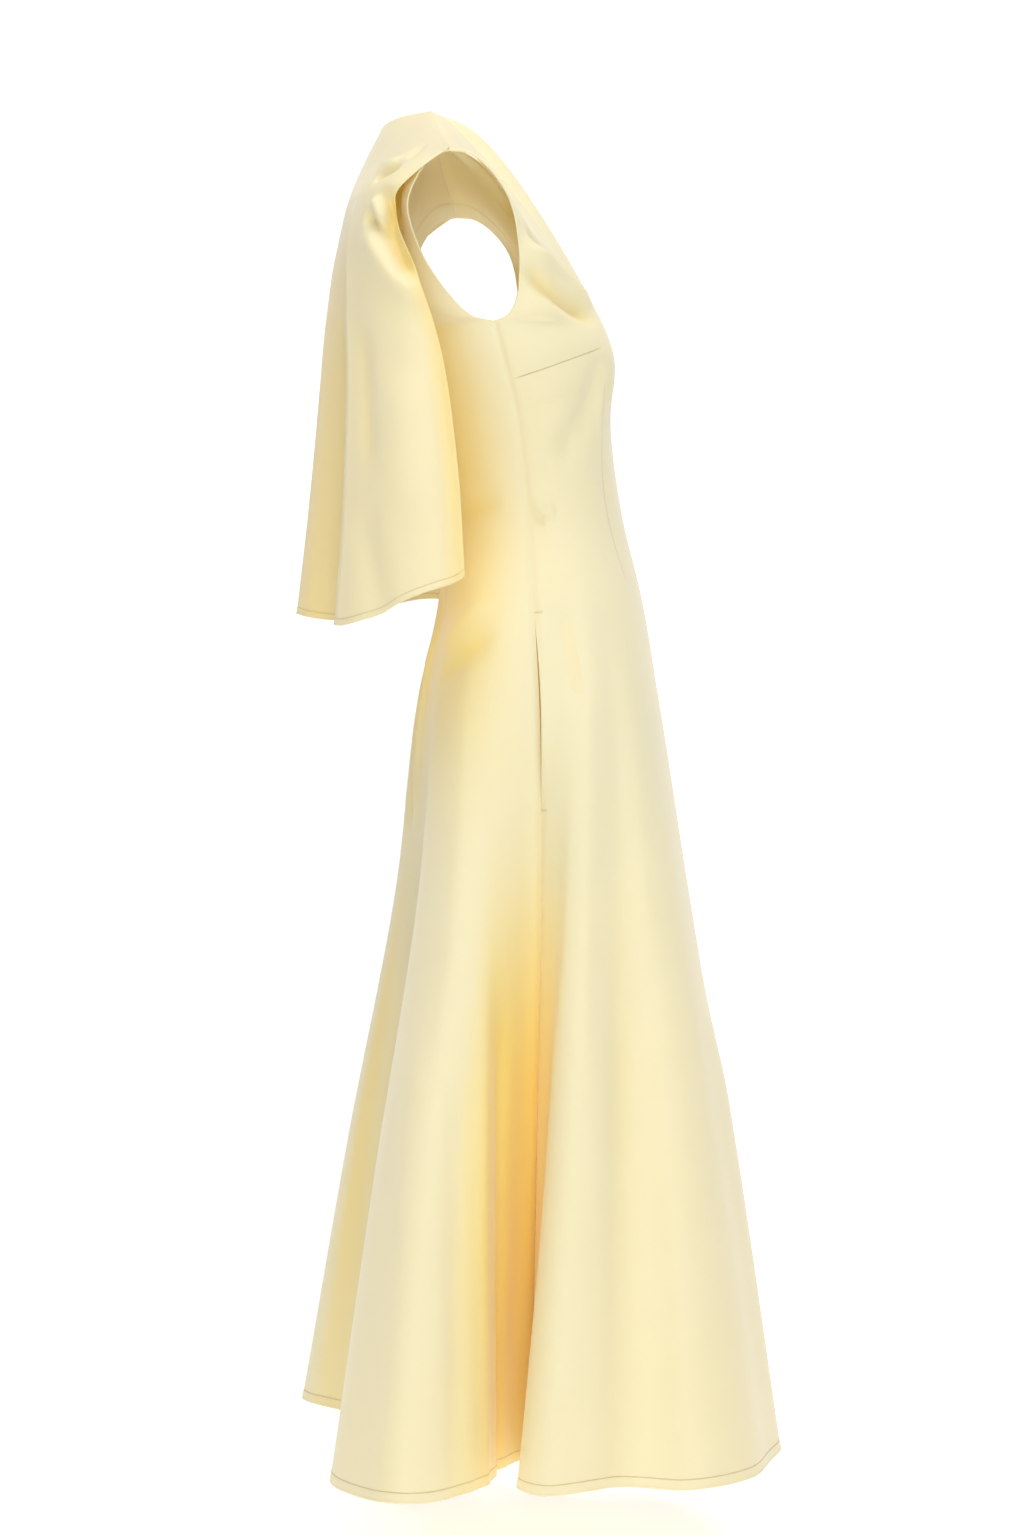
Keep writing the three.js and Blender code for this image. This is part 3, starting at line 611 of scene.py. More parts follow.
def band_round(flat):
    """The corners of the tightest band round flat points, in order (Andrew's chain)."""
    ordered = flat[np.lexsort((flat[:, 1], flat[:, 0]))]
    corners = []
    for run in (ordered, ordered[::-1]):
        chain = []
        for point in run:
            while len(chain) > 1:
                a, b = chain[-1] - chain[-2], point - chain[-2]
                if a[0] * b[1] - a[1] * b[0] > 0:
                    break
                chain.pop()
            chain.append(point)
        corners += chain[:-1]
    return np.array(corners)


def inside_band(face, s, z):
    """How far each point of one face of the skirt lies inside the band round the dress at its level."""
    rings = {name: skirt(name, s, z)[:, :, :2] for name in ("front", "back")}
    depth = np.zeros((len(z), len(s)))
    for row in range(len(z)):
        corners = band_round(np.vstack([rings["front"][row, ::4], rings["back"][row, ::4]]))
        side = np.roll(corners, -1, axis=0) - corners
        offset = rings[face][row][:, None] - corners[None]
        away = side[None, :, 0] * offset[:, :, 1] - side[None, :, 1] * offset[:, :, 0]
        depth[row] = (away / np.linalg.norm(side, axis=1)).min(axis=1)
    return np.clip(depth, 0, None)


def flute_hollow(face, s, z):
    """The share of painted warm shade: from 0 on the crests of the flutes to 1 at the bottom of a deep one.
    """
    down = np.clip((FOLDS_FROM_Z - z) / (FOLDS_FROM_Z - HEM_Z), LEAST_DOWN, 1)[:, None]
    depth = inside_band(face, s, z) / down**DEPTH_POWER
    share = np.zeros_like(depth)
    for part in DEPTHS[face]:
        share += part["share"] * smooth((depth - part["starts"]) / (part["full"] - part["starts"]))
    if face == "back":
        beside_seam = smooth((np.abs(s) - OPEN_VALLEY["to"]) / OPEN_VALLEY["over"])[None]
        share *= mix(OPEN_VALLEY["share"], 1.0, beside_seam)
        past = smooth((depth - CENTRE_FLANK_SHADE["fades"]) / CENTRE_FLANK_SHADE["over"])
        flank = smooth(depth / CENTRE_FLANK_SHADE["full"]) * (1 - past)
        near_centre = smooth((CENTRE_FLANK_SHADE["within"] - np.abs(s)) / CENTRE_FLANK_SHADE["edge"])[None]
        share = np.maximum(share, CENTRE_FLANK_SHADE["share"] * flank * near_centre)
    share *= smooth((FADES_IN["from"] - z) / (FADES_IN["from"] - FADES_IN["full"]))[:, None]
    share *= 1 - FOOT["less"] * smooth((FOOT["from"] - z) / (FOOT["from"] - HEM_Z))[:, None]
    # The back under the cape gets the cape's painted shadow as warm shade.
    if face == "back":
        in_cape_shadow = smooth((z - CAPE_SHADOW_PAINT["from"]) / (CAPE_SHADOW_PAINT["full"] - CAPE_SHADOW_PAINT["from"]))
        in_from_seam = smooth((1 - np.abs(s)) / CAPE_SHADOW_PAINT["fade"])
        share += CAPE_SHADOW_PAINT["share"] * in_cape_shadow[:, None] * in_from_seam[None]
    return share


def trough_hollow(narrow):
    """Painted warm shade: from 0 outside the narrow troughs to a share at the bottom of a deep one."""
    return TROUGH["share"] * np.clip(-narrow / TROUGH["deep"], 0, 1)


# %% [markdown]
# A shell of cloth
#
# A cut panel is a thin sheet with turned edges. The grid of outer points is copied inwards by the thickness
# of the cloth, and one more line of points runs round the edge, halfway through it and a little outside, so
# that the edge is rolled and not sawn off. The cloth also carries its own coordinates in metres, across and
# down the panel, for the weave and the seam lines.


# %% Shell builder
EDGE_ROLL = 0.45  # the rolled edge stands this share of the thickness outside the panel


def length_along(points, axis):
    steps = np.linalg.norm(np.diff(points, axis=axis), axis=-1)
    pad = [(0, 0), (0, 0)]
    pad[axis] = (1, 0)
    return np.pad(np.cumsum(steps, axis=axis), pad)


def shell(name, points, outward, thickness, marks):
    """A closed mesh of one cut panel. marks holds more numbers for each point, such as seam distances."""
    rows, columns = points.shape[:2]
    count = rows * columns
    direction = normals(points, outward)
    thickness = np.broadcast_to(thickness, (rows, columns))
    inner = points - direction * thickness[:, :, None]
    index = np.arange(count).reshape(rows, columns)
    edge = np.concatenate([index[0, :-1], index[:-1, -1], index[-1, :0:-1], index[:0:-1, 0]])
    inside = np.concatenate([index[1, :-1], index[:-1, -2], index[-2, :0:-1], index[:0:-1, 1]])
    flat = points.reshape(-1, 3)
    roll = unit(flat[edge] - flat[inside]) * thickness.reshape(-1, 1)[edge] * EDGE_ROLL
    rim = (flat[edge] + inner.reshape(-1, 3)[edge]) / 2 + roll
    vertices = np.vstack([flat, inner.reshape(-1, 3), rim])

    a, b = index[:-1, :-1].ravel(), index[:-1, 1:].ravel()
    c, d = index[1:, 1:].ravel(), index[1:, :-1].ravel()
    outer_faces = np.stack([a, b, c, d] if outward > 0 else [a, d, c, b], axis=1)
    inner_faces = outer_faces[:, ::-1] + count
    here = np.arange(len(edge))
    after = np.roll(here, -1)
    lip = np.stack([edge[after], edge[here], 2 * count + here, 2 * count + after], axis=1)
    hem = np.stack([2 * count + after, 2 * count + here, count + edge[here], count + edge[after]], axis=1)
    rim_faces = np.vstack([lip, hem])
    faces = np.vstack([outer_faces, inner_faces, rim_faces if outward > 0 else rim_faces[:, ::-1]])

    mesh = bpy.data.meshes.new(name)
    mesh.from_pydata(vertices.tolist(), [], faces.tolist())
    mesh.polygons.foreach_set("use_smooth", [True] * len(mesh.polygons))
    across = length_along(points, 1)
    across -= across[:, columns // 2][:, None]
    cloth = np.stack([across, length_along(points, 0)], axis=-1).reshape(-1, 2)
    write_uv(mesh, np.vstack([cloth, cloth, cloth[edge]]))
    for mark, values in marks.items():
        values = values.ravel()
        attribute = mesh.attributes.new(mark, "FLOAT", "POINT")
        attribute.data.foreach_set("value", np.concatenate([values, values, values[edge]]))
    piece = bpy.data.objects.new(name, mesh)
    scene.collection.objects.link(piece)
    return piece


def write_uv(mesh, per_vertex):
    layer = mesh.uv_layers.new(name="cloth")
    loops = np.zeros(len(mesh.loops), dtype=np.int32)
    mesh.loops.foreach_get("vertex_index", loops)
    layer.data.foreach_set("uv", per_vertex[loops].astype(np.float32).ravel())


def layer_area(points):
    a, b, c, d = points[:-1, :-1], points[:-1, 1:], points[1:, 1:], points[1:, :-1]
    cross = np.cross(b - a, c - a), np.cross(c - a, d - a)
    return float(sum(np.linalg.norm(part, axis=-1).sum() for part in cross) / 2)


# %% [markdown]
# Seam lines on the cloth
#
# A dart is a wedge of cloth stitched away on the inside. Outside it leaves one fine line with a shallow
# dip along it. Each point of the cloth notes how far it lies to the left or right of the nearest such line,
# and whether the line is sewn there. The finish paints the shade of the line's groove as a dark line where
# the first number passes zero, so it stays crisp however close one looks, and it bumps a groove there too.
# The stitched lines of the hems are noted in the same two numbers.

# %% Darts
DARTS = {
    "front": [
        dict(name="bust dart", left_lower=0.001,
             path=[(-0.151, -0.076, -0.267), (-0.148, -0.103, -0.258), (-0.137, -0.127, -0.248),
                   (-0.098, -0.162, -0.230)]),
        dict(name="waist dart", left_lower=0.0,
             path=[(-0.088, -0.166, -0.262), (-0.080, -0.166, -0.330), (-0.080, -0.174, -0.392),
                   (-0.084, -0.190, -0.455)]),
    ],
    "back": [
        dict(name="back dart", left_lower=0.0,
             path=[(-0.070, 0.020, -0.270), (-0.064, 0.000, -0.330), (-0.062, -0.016, -0.392),
                   (-0.068, -0.012, -0.490)]),
    ],
}
DART_DIP = {"width": 0.0045, "depth": 0.0012}
DART_END = 0.012
DART_STEPS = 200
ROW_STRENGTH = 0.6
FAR = 0.03


def blank_marks(points):
    nothing = np.zeros(points.shape[:2])
    return {"aside": nothing + FAR, "sewn": nothing.copy(), "hollow": nothing.copy()}


def dart_lines(darts):
    """The line of each dart on the right side, and then its twin on the left."""
    for dart in darts:
        yield dart["path"]
        yield [(-x, y, z - dart["left_lower"]) for x, y, z in dart["path"]]


def mark_dart(points, direction, marks, dart_line):
    """Note the signed distance to one dart, and where along it the dart is sewn."""
    steps = np.linspace(0, 1, DART_STEPS)
    path = Path(dart_line)
    line = path(steps)
    near = near_box(points, line, FAR)
    start, run = line[:-1], np.diff(line, axis=0)
    offset = points[near][:, None] - start[None]
    along = np.clip((offset * run).sum(-1) / (run * run).sum(-1), 0, 1)
    gap = offset - along[:, :, None] * run[None]
    level = direction[near][:, None]
    gap = gap - (gap * level).sum(-1, keepdims=True) * level
    away = np.linalg.norm(gap, axis=-1)
    nearest = away.argmin(axis=1)
    row = np.arange(len(nearest))
    side = np.sign((np.cross(run[nearest], gap[row, nearest]) * direction[near]).sum(-1))
    travelled = (nearest + along[row, nearest]) / (len(steps) - 1) * path.length[-1]
    sewn = smooth(travelled / DART_END) * smooth((path.length[-1] - travelled) / DART_END)
    aside = np.where(side < 0, -1.0, 1.0) * away[row, nearest]
    closer = np.abs(aside) < np.abs(marks["aside"][near])
    marks["aside"][near] = np.where(closer, aside, marks["aside"][near])
    marks["sewn"][near] = np.where(closer, sewn, marks["sewn"][near])


def mark_row(marks, up, band):
    """Note the stitched line of a hem, which runs at one height above the edge. It is fainter than a seam."""
    aside = up - (band["deep"] - STITCH_INSET)
    near = np.abs(aside) < band["marked"]
    marks["aside"][near] = aside[near]
    marks["sewn"][near] = ROW_STRENGTH


# %% [markdown]
# Front and back
#
# Both panels are cut in one from the shoulders to the hem. The rows of points lie closer at the top, where
# the cloth bends over the shoulders, and in the last two centimetres, where the hem is turned up. The
# columns crowd towards the side seams. There both panels turn in together by a millimetre or two, as two
# layers pressed open do. Along the mouth of the pocket the front's edge stands back and lifts instead. The
# neckline and the armholes are faced: a second layer, a few centimetres wide, doubles the cloth inside.

# %% Front and back panels
CLOTH = 0.0011
FACING = {"cloth": 0.0009, "neck": 0.042, "armhole": 0.030}
FACING_STEP = 0.002
SEAM_ROLL = {"width": 0.0038, "depth": 0.0018, "grows_over": 0.010, "columns": 9}
HEM_BAND = {"deep": 0.011, "raise": 0.0005, "groove": 0.0006, "groove_width": 0.0013, "marked": 0.009}
HEM_STEP = 0.0016
STITCH_INSET = 0.002  # a hem is stitched this far below the top of its band
POCKET = {"mouth_top": -0.488, "mouth_bottom": -0.672, "gape": 0.0026, "lift": 0.0024,
          "gape_width": 0.012, "lift_width": 0.010}
COLUMNS_PER_HALF = 98
SEAM_CROWDING = 1.45
ROWS = {"above": 60, "body": 131, "hem": 9, "hem_deep": 0.018, "crowding": 1.6, "crowded_share": 0.4}


def panel_columns():
    u = np.linspace(-1, 1, 2 * COLUMNS_PER_HALF + 1)
    return np.sign(u) * (1 - (1 - np.abs(u)) ** SEAM_CROWDING)


def panel_heights():
    down = np.linspace(0, 1, ROWS["body"] + 1)[1:]
    share = mix(down, down ** ROWS["crowding"], ROWS["crowded_share"])
    body = mix(UNDERARM_Z, HEM_Z + ROWS["hem_deep"], share)
    last = HEM_Z + ROWS["hem_deep"] * (1 - np.linspace(0, 1, ROWS["hem"] + 1)[1:])
    return np.concatenate([body, last])


def from_foot(points):
    """How far each point lies above the lower edge, along the cloth."""
    return length_along(points[::-1], 0)[::-1]


def from_sides(points):
    """How far each point lies from the nearer side edge, along the cloth."""
    across = length_along(points, 1)
    return np.minimum(across, across[:, -1:] - across)


def mouth_open(z):
    """From 0 at the ends of the pocket's mouth, and beyond them, to 1 at its middle."""
    along = np.clip((z - POCKET["mouth_bottom"]) / (POCKET["mouth_top"] - POCKET["mouth_bottom"]), 0, 1)
    return np.sin(math.pi * along)


def roll_seams(points, face, outward):
    """Turn both side edges in towards the wearer, and open the front's edge along the pocket's mouth."""
    direction = normals(points, outward)
    z = points[:, 0, 2]
    across = length_along(points, 1)
    below = smooth((UNDERARM_Z - z) / SEAM_ROLL["grows_over"] + 1)
    mouth = mouth_open(z) if face == "front" else np.zeros_like(z)
    columns = SEAM_ROLL["columns"]
    both_edges = ((0, columns, -1, across), (-1, -1 - columns, 1, across[:, -1:] - across))
    for edge, inner, side, away in both_edges:
        roll = SEAM_ROLL["depth"] * np.exp(-((away / SEAM_ROLL["width"]) ** 2)) * below[:, None]
        points[:, :, 0] -= side * roll * (1 - mouth[:, None])
        inwards = unit(points[:, inner] - points[:, edge])
        slide = np.clip(1 - away / POCKET["gape_width"], 0, 1) * (POCKET["gape"] * mouth)[:, None]
        lifted = (POCKET["lift"] * mouth)[:, None] * np.exp(-((away / POCKET["lift_width"]) ** 2))
        points += inwards[:, None] * slide[:, :, None] + direction * lifted[:, :, None]
    return points


def turn_hem(points, outward, band):
    """The doubled hem stands up a little, with a groove where it is stitched."""
    up = from_foot(points)
    raised = smooth((band["deep"] - up) / HEM_STEP) * band["raise"]
    from_stitches = up - band["deep"] + STITCH_INSET
    groove = band["groove"] * np.exp(-((from_stitches / band["groove_width"]) ** 2))
    return points + normals(points, outward) * (raised - groove)[:, :, None]


def faced(points, s):
    """The cloth's thickness: doubled where a facing lies inside the neckline or the armhole."""
    neck = length_along(points, 0)
    armhole = from_sides(points)
    above = points[:, :1, 2] > UNDERARM_Z
    at_neck = smooth((FACING["neck"] - neck) / FACING_STEP) * (np.abs(s)[None] < NECK_SHARE)
    at_armhole = smooth((FACING["armhole"] - armhole) / FACING_STEP) * above
    return CLOTH + FACING["cloth"] * np.maximum(at_neck, at_armhole)


def make_panel(name, face, outward):
    s = panel_columns()
    t = np.linspace(0, 1, ROWS["above"] + 1)
    heights = panel_heights()
    points = panel_form(face, s, t, heights)
    points, narrow = folded(points, face, outward)
    marks = blank_marks(points)
    flutes = np.concatenate([np.zeros((len(t), len(s))), flute_hollow(face, s, heights)])
    # How much painted warm shade the finish puts at each point: deep flutes and narrow troughs.
    marks["hollow"] = np.clip(flutes + trough_hollow(narrow), 0, 1)
    direction = normals(points, outward)
    for dart_line in dart_lines(DARTS[face]):
        mark_dart(points, direction, marks, dart_line)
    dip = DART_DIP["depth"] * marks["sewn"] * np.exp(-((marks["aside"] / DART_DIP["width"]) ** 2))
    points = points - direction * dip[:, :, None]
    points = roll_seams(points, face, outward)
    points = turn_hem(points, outward, HEM_BAND)
    mark_row(marks, from_foot(points), HEM_BAND)
    return shell(name, points, outward, faced(points, s), marks), points


front, front_points = make_panel("front_cloth", "front", -1)
back, back_points = make_panel("back_cloth", "back", 1)
print("front", len(front.data.polygons), "faces; back", len(back.data.polygons), "faces")

# %% [markdown]
# The cape panel
#
# The cape is lighter, a single layer with a narrow stitched hem at its foot and turned side edges. It hangs
# from the seam, so it needs no support below the shoulder blades. Where it passes over the side of the
# shoulder blade it bends sharply, in one crisp ridge that runs down to the hem on either side. The lower
# corners are rounded. The cloth between the ridges and along the free edges gets painted warm shade.

# %% Cape panel
CAPE_CLOTH = 0.0009
CAPE_HEM_BAND = {"deep": 0.008, "raise": 0.0005, "groove": 0.0006, "groove_width": 0.0012, "marked": 0.005}
CAPE_COLUMNS_PER_HALF = 104
CAPE_ROWS = 160
CAPE_CROWDING = {"edges": 1.2, "foot": 1.15}
SIDE_RIDGE = {"share": 0.564, "width": 0.0050, "height": 0.0058, "from": 0.12}
CENTRE_RIDGE = {"width": 0.0070, "height": 0.0030, "from": 0.15}
RIDGE_GROWS_OVER = 0.35
# Painted warm shade on the cape between its side ridges.
BETWEEN_RIDGES = {"hollow": 0.52, "edge": 0.03}
CORNER = {"from_s": 0.955, "from_t": 0.975, "lift": 0.0035}
# Painted shade along the cape's free edges, where the arms would shade them.
FREE_EDGE = {"hollow": 0.50, "width": 0.011, "from": 0.10, "full": 0.26}


def crisp_ridges(points, s, t):
    """One ridge down each side and one down the centre, sharpest at the hem."""
    at = SIDE_RIDGE["share"]
    across = length_along(points, 1)
    raised = np.zeros(points.shape[:2])
    for share, ridge in ((-at, SIDE_RIDGE), (at, SIDE_RIDGE), (0.0, CENTRE_RIDGE)):
        crest = np.array([np.interp(share, s, row) for row in across])
        away = np.abs(across - crest[:, None]) / ridge["width"]
        grow = smooth((t - ridge["from"]) / RIDGE_GROWS_OVER)[:, None]
        raised += ridge["height"] * grow * np.exp(-away)
    return points + normals(points, 1) * raised[:, :, None]


def round_corners(points, s, t):
    """Lift the two lower corners a little, so that the side edges run round into the hem."""
    near_edge = np.clip((np.abs(s) - CORNER["from_s"]) / (1 - CORNER["from_s"]), 0, 1)[None]
    near_foot = np.clip((t - CORNER["from_t"]) / (1 - CORNER["from_t"]), 0, 1)[:, None]
    points[:, :, 2] += CORNER["lift"] * (near_edge * near_foot) ** 2
    return points


def cape_hollow(points, s, t):
    """Painted warm shade on the cape, between its side ridges and along its free edges beside the arms."""
    inside = smooth((SIDE_RIDGE["share"] - np.abs(s)) / BETWEEN_RIDGES["edge"])[None]
    grow = smooth((t - SIDE_RIDGE["from"]) / RIDGE_GROWS_OVER)[:, None]
    beside_arm = smooth((t - FREE_EDGE["from"]) / (FREE_EDGE["full"] - FREE_EDGE["from"]))[:, None]
    at_edge = np.exp(-((from_sides(points) / FREE_EDGE["width"]) ** 2))
    return BETWEEN_RIDGES["hollow"] * inside * grow + FREE_EDGE["hollow"] * beside_arm * at_edge


def make_cape():
    u = np.linspace(-1, 1, 2 * CAPE_COLUMNS_PER_HALF + 1)
    s = np.sign(u) * (1 - (1 - np.abs(u)) ** CAPE_CROWDING["edges"])
    t = 1 - (1 - np.linspace(0, 1, CAPE_ROWS + 1)) ** CAPE_CROWDING["foot"]
    points = cape_form(s, t)
    points = points + normals(points, 1) * CAPE_OFF_BACK
    points, narrow = folded(points, "cape", 1)
    points = crisp_ridges(points, s, t)
    points = round_corners(points, s, t)
    points = turn_hem(points, 1, CAPE_HEM_BAND)
    marks = blank_marks(points)
    # Painted warm shade: narrow troughs, the band between the ridges and the free edges.
    marks["hollow"] = np.clip(trough_hollow(narrow) + cape_hollow(points, s, t), 0, 1)
    mark_row(marks, from_foot(points), CAPE_HEM_BAND)
    return shell("cape_cloth", points, 1, CAPE_CLOTH, marks), points


cape, cape_points = make_cape()
print("cape", len(cape.data.polygons), "faces")

# %% [markdown]
# Pocket bags
#
# Behind each side seam hangs a flat bag. It shows only as a sliver inside the pocket's mouth, but it is made
# whole, from the front's own form moved inwards.

# %% Pocket bags
BAG = {"top": -0.478, "bottom": -0.752, "width": 0.158, "top_share": 0.6, "inset": 0.002, "thickness": 0.0022}
BAG_OFF = {"at_seam": 0.0021, "inside": 0.0056}
BAG_WIDEST = 0.5  # the share of its depth at which the bag is widest
BAG_ROUND = 0.53  # the half height of its round foot, as a share of its depth
BAG_GRID = {"rows": 60, "columns": 36, "samples": 160}


def make_bag(name, side):
    """One bag, from the front's own form: its width at each height, measured in from the side seam."""
    rows, columns = BAG_GRID["rows"], BAG_GRID["columns"]
    v = np.linspace(0, 1, rows + 1)
    z = mix(BAG["top"], BAG["bottom"], v)
    half = skirt("front", side * np.linspace(0, 1, BAG_GRID["samples"]), z)
    length = length_along(half, 1)
    upper = mix(BAG["top_share"], 1, smooth(v / BAG_WIDEST))
    lower = np.sqrt(np.clip(1 - ((v - BAG_WIDEST) / BAG_ROUND) ** 2, 0, 1))
    width = BAG["width"] * np.where(v < BAG_WIDEST, upper, lower)
    points = np.zeros((rows + 1, columns + 1, 3))
    for row in range(rows + 1):
        from_seam = BAG["inset"] + width[row] * np.linspace(1, 0, columns + 1)
        want = length[row, -1] - from_seam
        for axis in range(3):
            points[row, :, axis] = np.interp(want, length[row], half[row, :, axis])
    outward = -side
    off = mix(BAG_OFF["inside"], BAG_OFF["at_seam"], np.linspace(0, 1, columns + 1))
    points = points - normals(points, outward) * off[None, :, None]
    return shell(name, points, outward, BAG["thickness"], blank_marks(points)), points


bag_right, bag_right_points = make_bag("pocket_bag_right", -1)
bag_left, bag_left_points = make_bag("pocket_bag_left", 1)
print("bags", len(bag_right.data.polygons), "faces each")

# %% [markdown]
# Stitches
#
# The hems are closed with a row of small stitches. Geometry Nodes lay them: the row is a curve, resampled at
# the distance from one stitch to the next, and a short thread is set on each point and turned along the
# curve. The tree's inputs are that distance, the stitch's length and the thread's radius.


# %% Stitch tree
def stitch_tree():
    tree = bpy.data.node_groups.new("stitch_row", "GeometryNodeTree")
    tree.interface.new_socket("Geometry", in_out="INPUT", socket_type="NodeSocketGeometry")
    for name, value in (("Pitch", 0.003), ("Stitch length", 0.0022), ("Thread radius", 0.00022)):
        socket = tree.interface.new_socket(name, in_out="INPUT", socket_type="NodeSocketFloat")
        socket.default_value = value
    tree.interface.new_socket("Thread", in_out="INPUT", socket_type="NodeSocketMaterial")
    tree.interface.new_socket("Geometry", in_out="OUTPUT", socket_type="NodeSocketGeometry")
    nodes, link = tree.nodes, tree.links.new
    inputs, outputs = nodes.new("NodeGroupInput"), nodes.new("NodeGroupOutput")
    curve = nodes.new("GeometryNodeMeshToCurve")
    resample = nodes.new("GeometryNodeResampleCurve")
    resample.mode = "LENGTH"
    tangent = nodes.new("GeometryNodeInputTangent")
    turn = nodes.new("FunctionNodeAlignEulerToVector")
    turn.axis = "Z"
    thread = nodes.new("GeometryNodeMeshCylinder")
    thread.inputs["Vertices"].default_value = 5
    place = nodes.new("GeometryNodeInstanceOnPoints")
    realize = nodes.new("GeometryNodeRealizeInstances")
    paint = nodes.new("GeometryNodeSetMaterial")
    link(inputs.outputs["Geometry"], curve.inputs["Mesh"])
    link(curve.outputs["Curve"], resample.inputs["Curve"])
    link(inputs.outputs["Pitch"], resample.inputs["Length"])
    link(resample.outputs["Curve"], place.inputs["Points"])
    link(inputs.outputs["Stitch length"], thread.inputs["Depth"])
    link(inputs.outputs["Thread radius"], thread.inputs["Radius"])
    link(thread.outputs["Mesh"], place.inputs["Instance"])
    link(tangent.outputs["Tangent"], turn.inputs["Vector"])
    link(turn.outputs["Rotation"], place.inputs["Rotation"])
    link(place.outputs["Instances"], realize.inputs["Geometry"])
    link(realize.outputs["Geometry"], paint.inputs["Geometry"])
    link(inputs.outputs["Thread"], paint.inputs["Material"])
    link(paint.outputs["Geometry"], outputs.inputs["Geometry"])
    return tree


STITCHES = stitch_tree()


def sew(name, lines, thread, pitch, length, radius):
    """Rows of stitches along lines of points, as one plain mesh."""
    vertices, edges = [], []
    for line in lines:
        start = len(vertices)
        vertices += [tuple(point) for point in line]
        edges += [(start + k, start + k + 1) for k in range(len(line) - 1)]
    mesh = bpy.data.meshes.new(name + "_route")
    mesh.from_pydata(vertices, edges, [])
    route = bpy.data.objects.new(name + "_route", mesh)
    scene.collection.objects.link(route)
    modifier = route.modifiers.new("stitches", "NODES")
    modifier.node_group = STITCHES
    sockets = {item.name: item.identifier for item in STITCHES.interface.items_tree if item.in_out == "INPUT"}
    modifier[sockets["Pitch"]] = pitch
    modifier[sockets["Stitch length"]] = length
    modifier[sockets["Thread radius"]] = radius
    modifier[sockets["Thread"]] = thread
    evaluated = route.evaluated_get(bpy.context.evaluated_depsgraph_get())
    sewn = bpy.data.objects.new(name, bpy.data.meshes.new_from_object(evaluated))
    sewn.data.name = name
    sewn.data.polygons.foreach_set("use_smooth", [True] * len(sewn.data.polygons))
    scene.collection.objects.link(sewn)
    bpy.data.objects.remove(route)
    print(name, len(sewn.data.polygons), "faces")
    return sewn


# %% [markdown]
# The finish: pale yellow cotton
#
# The cloth is a close, smooth cotton sateen. Its own colour is a clear warm yellow. What is seen on the
# lit side is paler, because the fine nap on it scatters white light, most of all at grazing angles. In the
# deep folds light passes from cloth to cloth and through it, and the yellow grows warm; on top of that real
# bounce light, a warm shade is painted into the colour where the cloth notes a hollow. The dark line of each
# seam's groove is painted shade as well. The weave is much finer than a step away shows, so it is only a
# whisper of bump on the cloth's own coordinates.

# %% Cotton
COTTON = {"colour": (0.90, 0.865, 0.585), "cloud": (0.89, 0.845, 0.535)}
POCKETING = {"colour": (0.92, 0.85, 0.54), "cloud": (0.90, 0.82, 0.48)}
SATEEN = {"Roughness": 0.75, "Sheen Weight": 0.50, "Sheen Roughness": 0.55, "Specular IOR Level": 1.0}
CLOUDS = {"scale": 9.0, "detail": 3.0, "from": 0.35, "to": 0.75, "share": 0.35}
# Painted warm shade: the colour mixed in where the cloth notes a hollow, for bounce light in folds and shade.
WARM_SHADE_PAINT = {"colour": (0.94, 0.77, 0.205), "share": 0.97}
THROUGH = {"colour": (1.0, 0.80, 0.24), "share": 0.20, "cape_share": 0.24}
WEAVE = {"pitch": 0.0007, "distortion": 0.4, "detail": 1.0, "height": 0.00004, "strength": 0.6}
GROOVE = {"depth": 0.0006, "strength": 0.9}
THREAD = {"dark": (0.86, 0.70, 0.36), "light": (0.93, 0.80, 0.46), "twist": 900.0, "rough": 0.6}
# Painted shade: the dark line along the groove of each dart and hem row, and the line's width.
SEAM_LINE_SHADE = {"colour": (0.50, 0.36, 0.12), "inner": 0.0001, "outer": 0.0007, "strength": 0.55}


def shader_nodes(name):
    material = bpy.data.materials.new(name)
    material.use_nodes = True
    nodes = material.node_tree.nodes
    return material, nodes, material.node_tree.links.new, nodes["Principled BSDF"], nodes["Material Output"]


def colour_mix(nodes, link, first, second, factor):
    """A mix of two colours. Each one is a fixed colour or the output of a node."""
    node = nodes.new("ShaderNodeMix")
    node.data_type = "RGBA"
    for name, value in (("A", first), ("B", second)):
        if isinstance(value, tuple):
            node.inputs[name].default_value = (*value, 1)
        else:
            link(value, node.inputs[name])
    link(factor, node.inputs["Factor"])
    return node.outputs["Result"]


def calculate(nodes, link, operation, first, second=None):
    node = nodes.new("ShaderNodeMath")
    node.operation = operation
    for slot, value in enumerate((first, second)):
        if isinstance(value, float):
            node.inputs[slot].default_value = value
        elif value is not None:
            link(value, node.inputs[slot])
    return node.outputs["Value"]


def ramp(nodes, link, value, start, end, low, high):
    node = nodes.new("ShaderNodeMapRange")
    node.interpolation_type = "SMOOTHSTEP"
    for name, number in (("From Min", start), ("From Max", end), ("To Min", low), ("To Max", high)):
        node.inputs[name].default_value = number
    link(value, node.inputs["Value"])
    return node.outputs["Result"]


def seam_line(nodes, link):
    """1 on a stitched line and 0 beside it, from the two numbers that each point carries."""
    aside, sewn = nodes.new("ShaderNodeAttribute"), nodes.new("ShaderNodeAttribute")
    aside.attribute_name, sewn.attribute_name = "aside", "sewn"
    distance = calculate(nodes, link, "ABSOLUTE", aside.outputs["Fac"])
    line = ramp(nodes, link, distance, SEAM_LINE_SHADE["inner"], SEAM_LINE_SHADE["outer"], 1.0, 0.0)
    return calculate(nodes, link, "MULTIPLY", line, sewn.outputs["Fac"])


